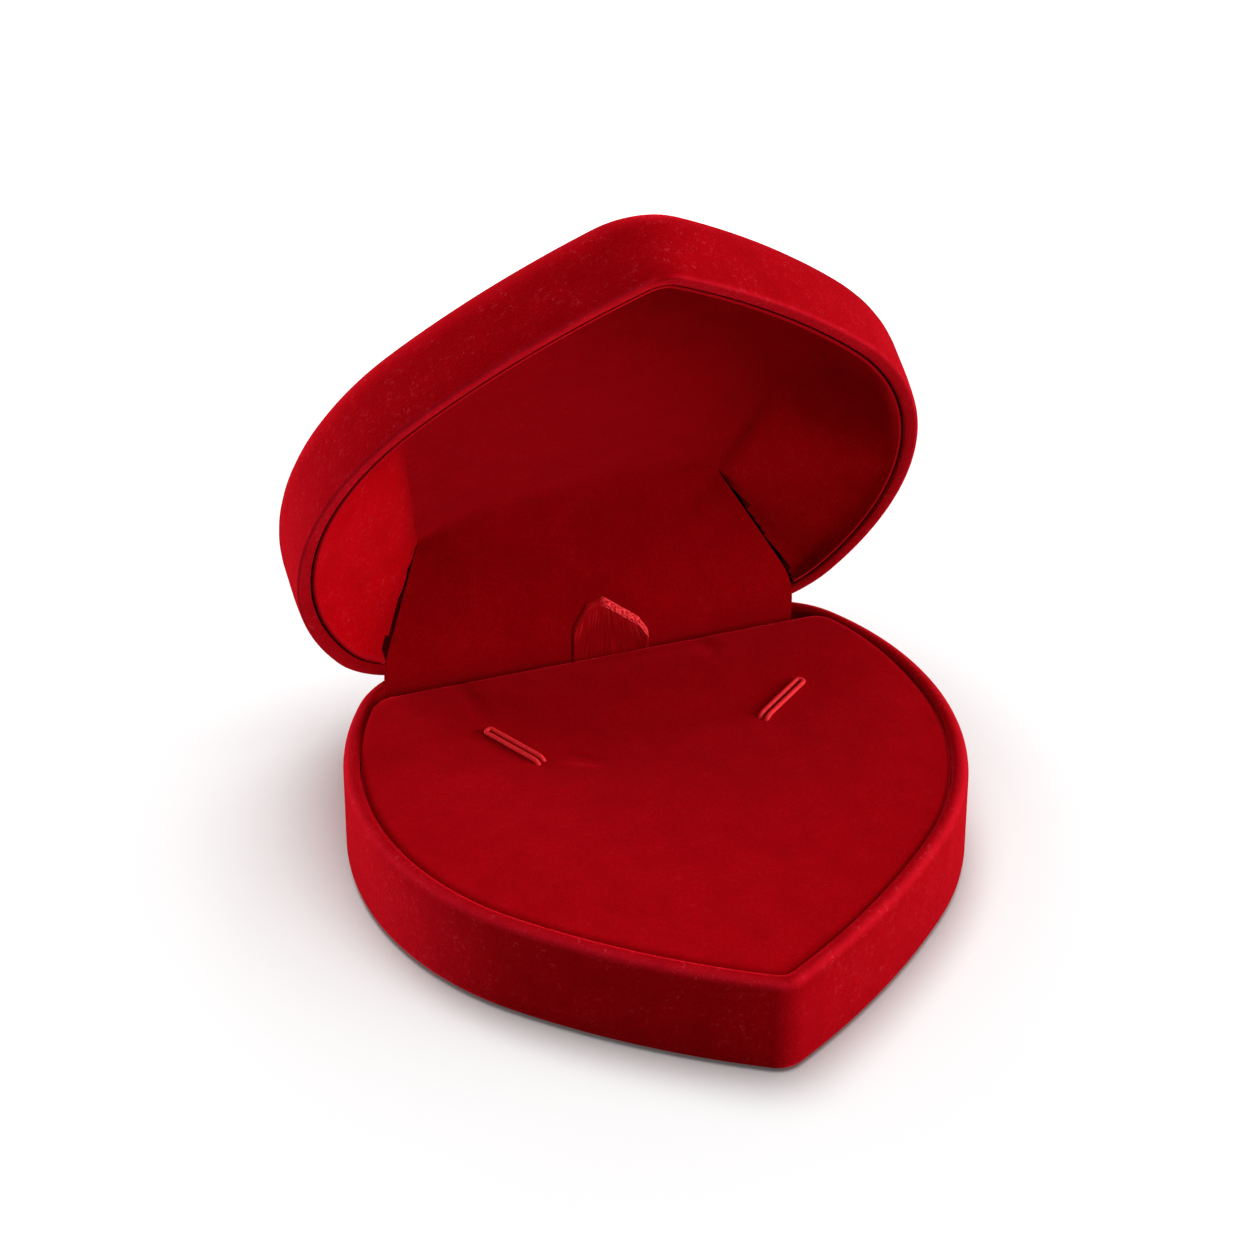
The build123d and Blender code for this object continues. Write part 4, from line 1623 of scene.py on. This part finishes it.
class HEARTBOX_OT_hinge_flap(Operator):
    """Draw the lining's tongue down to the base"""

    bl_idname = "heartbox.hinge_flap"
    bl_label = "Hinge Flap"

    FLAT_SIZE = (0.0815, 0.053)
    FLAT_AREA = 0.0037
    COLUMNS = 80
    FOOT_STEPS = 6
    KNEE_STEPS = 8
    RISE_STEPS = 13
    FOLD_STEPS = 12
    CEILING_STEPS = 5
    ROWS = FOOT_STEPS + KNEE_STEPS + RISE_STEPS + FOLD_STEPS + CEILING_STEPS
    KNEE_ROW = 12
    BEND_ROW = FOOT_STEPS + KNEE_STEPS + RISE_STEPS
    LID_ROW = 30
    FLAT_ROW = BEND_ROW + FOLD_STEPS
    KNEE_TRIM = 0.0045
    EDGE_SLACK = 0.0012
    CEILING_GAP = 0.000006
    THINNEST = 0.01
    WRINKLE_DEPTH = 0.00022
    WRINKLE_LEVEL = 0.026
    WRINKLE_REACH = 0.010
    WRINKLE_START = 0.45

    def execute(self, context):
        sizes = context.scene.flap_sizes
        lid = context.scene.lid_sizes
        lines = [self.column_line(step / self.COLUMNS, sizes, lid) for step in range(self.COLUMNS + 1)]
        bm = bmesh.new()
        bmesh.ops.create_grid(bm, x_segments=self.COLUMNS, y_segments=self.ROWS, size=0.5)
        weights = bm.verts.layers.deform.verify()
        for vert in bm.verts:
            column = round((vert.co.x + 0.5) * self.COLUMNS)
            row = round((vert.co.y + 0.5) * self.ROWS)
            vert.co = lines[column][row]
            vert.co.y += self.wrinkle(vert.co, column / self.COLUMNS)
            vert[weights][0] = clamped((self.FLAT_ROW - row) / (self.FLAT_ROW - self.BEND_ROW))
        face_outwards(bm)
        flip_if(bm, sum(face.normal.y for face in bm.faces) > 0)
        border(bm)
        flap = add_piece("hinge_flap_velvet", bm, [inner_velvet(), cut_edge()])
        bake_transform(flap)
        shell = thicken(flap, context.scene.base_sizes.velvet, 1)
        shell.vertex_group = flap.vertex_groups.new(name="free_length").name
        shell.thickness_vertex_group = self.THINNEST
        let_light_past(flap)
        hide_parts("hinge_flap")
        return {"FINISHED"}

    def column_line(self, share, sizes, lid):
        """Line of the flap from its foot to its end in the ceiling, at a share of its width."""
        knee_x, knee_z = Vector(sizes.knee_left).lerp(Vector(sizes.knee_right), share)
        fold_x, fold_y = Vector(sizes.fold_left).lerp(Vector(sizes.fold_right), share)
        foot_x = sizes.foot_left + share * (sizes.foot_right - sizes.foot_left)
        face = lid.ceiling - self.CEILING_GAP
        foot = Vector((foot_x, sizes.depth, sizes.foot_level))
        knee = Vector((knee_x, sizes.depth, knee_z))
        fold = opened(Vector((fold_x, fold_y, face)), lid.open_angle)
        end = opened(Vector((fold_x, fold_y - sizes.ceiling_reach, face)), lid.open_angle)
        middle_share = 1 - (2 * share - 1) ** 4
        slack = self.EDGE_SLACK + (sizes.fold_slack - self.EDGE_SLACK) * middle_share
        knee_bend = soft_corner(foot, knee, fold, self.KNEE_TRIM, self.KNEE_STEPS)
        fold_bend = soft_corner(knee, fold, end, slack, self.FOLD_STEPS)
        return (
            steps_between(foot, knee_bend[0], self.FOOT_STEPS)[:-1]
            + knee_bend
            + steps_between(knee_bend[-1], fold_bend[0], self.RISE_STEPS)[1:-1]
            + fold_bend
            + steps_between(fold_bend[-1], end, self.CEILING_STEPS)[1:]
        )

    def wrinkle(self, place, share):
        """Depth of the faint level wrinkles at the right of the flap's lower part."""
        near_knee = max(0.0, 1 - abs(place.z - self.WRINKLE_LEVEL) / self.WRINKLE_REACH)
        at_right = clamped((share - self.WRINKLE_START) * 4)
        ripple = noise.noise(Vector((place.x * 70, 0.0, place.z * 620)))
        return self.WRINKLE_DEPTH * near_knee * at_right * ripple


class HEARTBOX_OT_pad(Operator):
    """Pad the insert and draw its velvet over it"""

    bl_idname = "heartbox.pad"
    bl_label = "Necklace Pad"

    FOOT_ROUND = 0.0004
    WALL_STEPS = 4
    EDGE_STEPS = 8
    TOP_RINGS = 50
    TOP_POLE = 0.004
    CORNER_STEPS = 10
    REAR_STEPS = 36
    SMALLEST_CORNER = 0.0005
    LIFT_START = 0.020
    LIFT_REACH = 0.027
    FILL = 0.8
    SCALE = 20.0
    VOXEL = 0.0016
    FRAMES = 25
    CLOTH_QUALITY = 6
    CLOTH_MASS = 0.05
    RAY_LEVEL = 0.06
    SMOOTHINGS = 4
    PRESSED_HALF = 0.0017
    CREASE_HALF = 0.0016
    PRESSED = (
        (LOOP_ROOTS[0], (-0.0277, 0.0313)),
        (LOOP_ROOTS[1], (0.0331, 0.0281)),
    )
    CREASES = (
        ((-0.0288, 0.0487), (-0.0270, 0.0322)),
        ((0.0179, 0.0479), (0.0210, 0.0398)),
        ((-0.0180, 0.0208), (-0.0090, 0.0155)),
    )

    def execute(self, context):
        line = HeartLine(context.scene.heart_outline)
        sizes = context.scene.pad_sizes
        bm = bmesh.new()
        bottom = start_ring(bm, at_level(self.outline(line, sizes, self.FOOT_ROUND), sizes.bottom))
        ring = bottom
        wall_foot = sizes.bottom + self.FOOT_ROUND
        wall_top = sizes.edge - sizes.edge_round
        for step in range(self.WALL_STEPS + 1):
            height = wall_foot + (wall_top - wall_foot) * step / self.WALL_STEPS
            ring = next_ring(bm, ring, at_level(self.outline(line, sizes, 0.0), height))
        for step in range(1, self.EDGE_STEPS + 1):
            turn = step * pi / (2 * self.EDGE_STEPS)
            inset = sizes.edge_round * (1 - cos(turn))
            height = wall_top + sizes.edge_round * sin(turn)
            ring = next_ring(bm, ring, at_level(self.outline(line, sizes, inset), height))
        close_in(bm, ring, Vector((0.0, self.TOP_POLE, sizes.edge)), ring_shares(self.TOP_RINGS))
        bmesh.ops.contextual_create(bm, geom=ring_edges(bm, bottom))
        face_outwards(bm)
        for vert in bm.verts:
            share = clamped((vert.co.z - wall_foot) / (wall_top - wall_foot))
            lift = sizes.rear_lift * eased((vert.co.y - self.LIFT_START) / self.LIFT_REACH)
            vert.co.z += share * lift
        self.swell(context, bm, sizes, wall_top)
        self.crease(bm, sizes, wall_top)
        pad = add_piece("necklace_pad", bm, [inner_velvet()])
        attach(pad, "pad")
        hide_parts("pad_velvet", "pad_foam")
        return {"FINISHED"}

    def outline(self, line, sizes, inset):
        """Outline of the pad: the heart, cut straight at its rear and rounded at its corners."""
        radius = max(sizes.corner - inset, self.SMALLEST_CORNER)
        shoulder = line.shoulder_radius - sizes.inset - inset
        rear = sizes.rear - inset
        rise = rear - radius - line.shoulder.y
        turn = asin(rise / (shoulder - radius))
        centre = line.shoulder + (shoulder - radius) * Vector((cos(turn), sin(turn)))
        half = line.side_and_shoulder(sizes.inset + inset, turn)
        half += arc(centre, radius, turn, pi / 2, self.CORNER_STEPS)
        half += steps_between(Vector((centre.x, rear)), Vector((0.0, rear)), self.REAR_STEPS)
        return mirrored(half)

    def swell(self, context, bm, sizes, wall_top):
        """Let the cover swell over its foam as cloth under pressure, and draw the pad's top up to it."""
        scene = context.scene
        mesh = bpy.data.meshes.new("pad_blank")
        bm.to_mesh(mesh)
        mesh.transform(Matrix.Scale(self.SCALE, 4))
        blank = bpy.data.objects.new("pad_blank", mesh)
        scene.collection.objects.link(blank)
        even = blank.modifiers.new("Even Mesh", "REMESH")
        even.mode = "VOXEL"
        even.voxel_size = self.VOXEL * self.SCALE
        flat = self.evaluated(context, blank)
        blank.modifiers.clear()
        blank.data = flat
        pins = blank.vertex_groups.new(name="pinned")
        held = [vert.index for vert in flat.vertices if self.is_held(vert.co / self.SCALE, wall_top)]
        pins.add(held, 1.0, "REPLACE")
        cloth = blank.modifiers.new("Swelling", "CLOTH")
        cloth.settings.quality = self.CLOTH_QUALITY
        cloth.settings.mass = self.CLOTH_MASS
        cloth.settings.vertex_group_mass = "pinned"
        cloth.settings.use_pressure = True
        cloth.settings.uniform_pressure_force = sizes.pressure
        cloth.settings.effector_weights.gravity = 0.0
        first = scene.frame_current
        for step in range(self.FRAMES):
            scene.frame_set(step + 1)
        swollen = self.evaluated(context, blank)
        scene.frame_set(first)
        self.draw_up(bm, sizes, wall_top, self.tree_of(flat), self.tree_of(swollen))
        bpy.data.objects.remove(blank)
        for spare in (mesh, flat, swollen):
            bpy.data.meshes.remove(spare)

    def evaluated(self, context, piece):
        """Mesh of a piece with its modifiers applied."""
        graph = context.evaluated_depsgraph_get()
        return bpy.data.meshes.new_from_object(piece.evaluated_get(graph), depsgraph=graph)

    def tree_of(self, mesh):
        """Tree that finds where a ray meets a mesh."""
        bm = bmesh.new()
        bm.from_mesh(mesh)
        tree = BVHTree.FromBMesh(bm)
        bm.free()
        return tree

    def is_held(self, place, wall_top):
        """Whether the cover is glued down here, or pressed down by a loop."""
        if place.z < wall_top:
            return True
        for start, stop in self.PRESSED:
            near, share = intersect_point_line(place.xy, Vector(start), Vector(stop))
            if 0.0 < share < 1.0 and (place.xy - near).length < self.PRESSED_HALF:
                return True
        return False

    def draw_up(self, bm, sizes, wall_top, flat, swollen):
        """Raise the pad's top as the cover has risen, up to the height of the swell."""
        down = Vector((0.0, 0.0, -1.0))
        rises = {}
        for vert in bm.verts:
            above = Vector((vert.co.x, vert.co.y, self.RAY_LEVEL)) * self.SCALE
            before = flat.ray_cast(above, down)[0]
            after = swollen.ray_cast(above, down)[0]
            if vert.co.z > wall_top and before and after:
                rises[vert] = max(after.z - before.z, 0.0)
        highest = max(rises.values())
        for vert, rise in rises.items():
            vert.co.z += sizes.swell * rise / highest
        for _ in range(self.SMOOTHINGS):
            bmesh.ops.smooth_vert(bm, verts=list(rises), factor=0.5, use_axis_z=True)

    def crease(self, bm, sizes, wall_top):
        """Press in the soft creases that run out from the loops and the rear edge."""
        for vert in bm.verts:
            if vert.co.z < wall_top:
                continue
            for start, stop in self.CREASES:
                near, share = intersect_point_line(vert.co.xy, Vector(start), Vector(stop))
                fade = max(0.0, 1 - (2 * share - 1) ** 2)
                away = (vert.co.xy - near).length / self.CREASE_HALF
                vert.co.z -= sizes.crease_depth * fade / (1 + away**4)


class HEARTBOX_OT_ribbon_tab(Operator):
    """Fold the ribbon that the pad is lifted by"""

    bl_idname = "heartbox.ribbon_tab"
    bl_label = "Ribbon Tab"

    FLAT_SIZE = (0.015, 0.045)
    COLUMNS = 40
    ROWS = 60
    PLY_ROWS = 18
    FRONT = 0.04782
    BACK = 0.04842
    SHUT_LEVEL = 0.0198
    SHUT_SHARE = 0.2

    def execute(self, context):
        finishes = context.scene.box_finishes
        sizes = context.scene.ribbon_sizes
        bm = bmesh.new()
        bm.loops.layers.uv.new("UVMap")
        bmesh.ops.create_grid(bm, x_segments=self.COLUMNS, y_segments=self.ROWS, size=0.5, calc_uvs=True)
        for vert in bm.verts:
            row = round((vert.co.y + 0.5) * self.ROWS)
            vert.co = self.place_on_ply(sizes, sizes.offset + vert.co.x * sizes.width, row)
        face_outwards(bm)
        in_front = [face for face in bm.faces if face.calc_center_median().y < self.FRONT]
        flip_if(bm, sum(face.normal.y for face in in_front) > 0)
        material = material_of("pull_ribbon", lambda: ribbon_material(finishes))
        ribbon = add_piece("ribbon_pull_tab", bm, [material])
        thicken(ribbon, sizes.thickness)
        let_light_past(ribbon)
        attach(ribbon, "pad")
        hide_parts("ribbon_tab")
        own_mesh(ribbon)
        return {"FINISHED"}

    def fold_height(self, sizes, x):
        """Height of the fold, which falls away to both sides of its peak."""
        peak_x, peak_z = sizes.peak
        run = x - peak_x
        if run > 0:
            return peak_z - 0.86 * run - 0.9 * max(run - 0.0072, 0.0)
        return peak_z + 0.30 * run - 1.5 * max(-run - 0.0034, 0.0)

    def place_on_ply(self, sizes, x, row):
        """Place on a row of the ribbon: up its front, over the puffed fold and down its back."""
        bend = 1.8 * sizes.fold_half
        puff = sizes.fold_half - (self.BACK - self.FRONT) / 2
        foot = sizes.foot_level
        shoulder = self.fold_height(sizes, x) - bend
        last = self.ROWS - self.PLY_ROWS
        if row <= self.PLY_ROWS:
            share = row / self.PLY_ROWS
            return Vector((x, self.FRONT - share**3 * puff, foot + share * (shoulder - foot)))
        if row >= last:
            share = (row - last) / self.PLY_ROWS
            return Vector((x, self.BACK, shoulder + share * (foot - shoulder)))
        turn = pi * (row - self.PLY_ROWS) / (last - self.PLY_ROWS)
        middle = (self.FRONT + self.BACK) / 2 - 0.5 * puff
        half = self.BACK - middle
        return Vector((x, middle - half * cos(turn), shoulder + bend * sin(turn)))


class HEARTBOX_OT_inner_parts(Operator):
    """Finish the hinge, the shells and the cards"""

    bl_idname = "heartbox.inner_parts"
    bl_label = "Inner Parts"

    STEEL = ("hinge_steel", (0.5, 0.5, 0.51), (0.66, 0.66, 0.67), 900.0, 0.34, 1.0, 0.05)
    GREY_CARD = ("grey_card", (0.3, 0.28, 0.25), (0.42, 0.4, 0.37), 1400.0, 0.9, 0.0, 0.2)
    RED_CARD = ("base_card", (0.03, 0.0004, 0.001), (0.05, 0.001, 0.002), 1600.0, 0.85, 0.0, 0.2)
    PAPER = ("gummed_paper", (0.45, 0.36, 0.22), (0.56, 0.47, 0.32), 1500.0, 0.8, 0.0, 0.15)

    def execute(self, context):
        self.dress(plain_material(*self.GREY_CARD), "pad_riser", "pad_board")
        self.dress(plain_material(*self.PAPER), "loop_patches")
        self.dress(material_of("shell_plastic", shell_plastic), "base_shell")
        red_card = plain_material(*self.RED_CARD)
        self.dress(red_card, "lid_lining_card", "base_bottom_panel", "rear_backing")
        steel = plain_material(*self.STEEL)
        self.dress(steel, "hinge_base_leaf", "hinge_lid_leaf", "hinge_pin")
        self.dress(steel, "snap_spring", "base_rivets", "lid_rivets")
        return {"FINISHED"}

    def dress(self, material, *nodes):
        """Give CAD nodes their material."""
        for node in nodes:
            mesh = frame["nodes"][node].data
            mesh.materials.clear()
            mesh.materials.append(material)


class HEARTBOX_PT_sidebar(Panel):
    """Steps that build the box's looks"""

    bl_idname = "HEARTBOX_PT_sidebar"
    bl_label = "Velvet Heart Box"
    bl_space_type = "VIEW_3D"
    bl_region_type = "UI"
    bl_category = "Heart Box"

    def draw(self, context):
        for step in STEPS:
            self.layout.operator(step.bl_idname)
        for name, group in GROUPS.items():
            self.layout.label(text=group.__doc__)
            for size in group.__annotations__:
                self.layout.prop(getattr(context.scene, name), size)


STEPS = (
    HEARTBOX_OT_stage,
    HEARTBOX_OT_chain_loops,
    HEARTBOX_OT_base_cover,
    HEARTBOX_OT_lid_cover,
    HEARTBOX_OT_lid_lining,
    HEARTBOX_OT_hinge_flap,
    HEARTBOX_OT_pad,
    HEARTBOX_OT_ribbon_tab,
    HEARTBOX_OT_inner_parts,
)

GROUPS = {
    "heart_outline": HeartOutline,
    "base_sizes": BaseSizes,
    "lid_sizes": LidSizes,
    "flap_sizes": FlapSizes,
    "pad_sizes": PadSizes,
    "ribbon_sizes": RibbonSizes,
    "loop_sizes": LoopSizes,
    "box_finishes": Finishes,
}


def register():
    """Add the property groups, the operators and the panel."""
    for name, group in GROUPS.items():
        bpy.utils.register_class(group)
        setattr(bpy.types.Scene, name, PointerProperty(type=group))
    for step in STEPS:
        bpy.utils.register_class(step)
    bpy.utils.register_class(HEARTBOX_PT_sidebar)


def unregister():
    """Take the panel, the operators and the property groups away again."""
    bpy.utils.unregister_class(HEARTBOX_PT_sidebar)
    for step in reversed(STEPS):
        bpy.utils.unregister_class(step)
    for name, group in reversed(GROUPS.items()):
        delattr(bpy.types.Scene, name)
        bpy.utils.unregister_class(group)


def main():
    """Build every piece in order."""
    register()
    bpy.ops.heartbox.stage()
    bpy.ops.heartbox.chain_loops()
    bpy.ops.heartbox.base_cover()
    bpy.ops.heartbox.lid_cover()
    bpy.ops.heartbox.lid_lining()
    bpy.ops.heartbox.hinge_flap()
    bpy.ops.heartbox.pad()
    bpy.ops.heartbox.ribbon_tab()
    bpy.ops.heartbox.inner_parts()


if __name__ == "__main__":
    main()
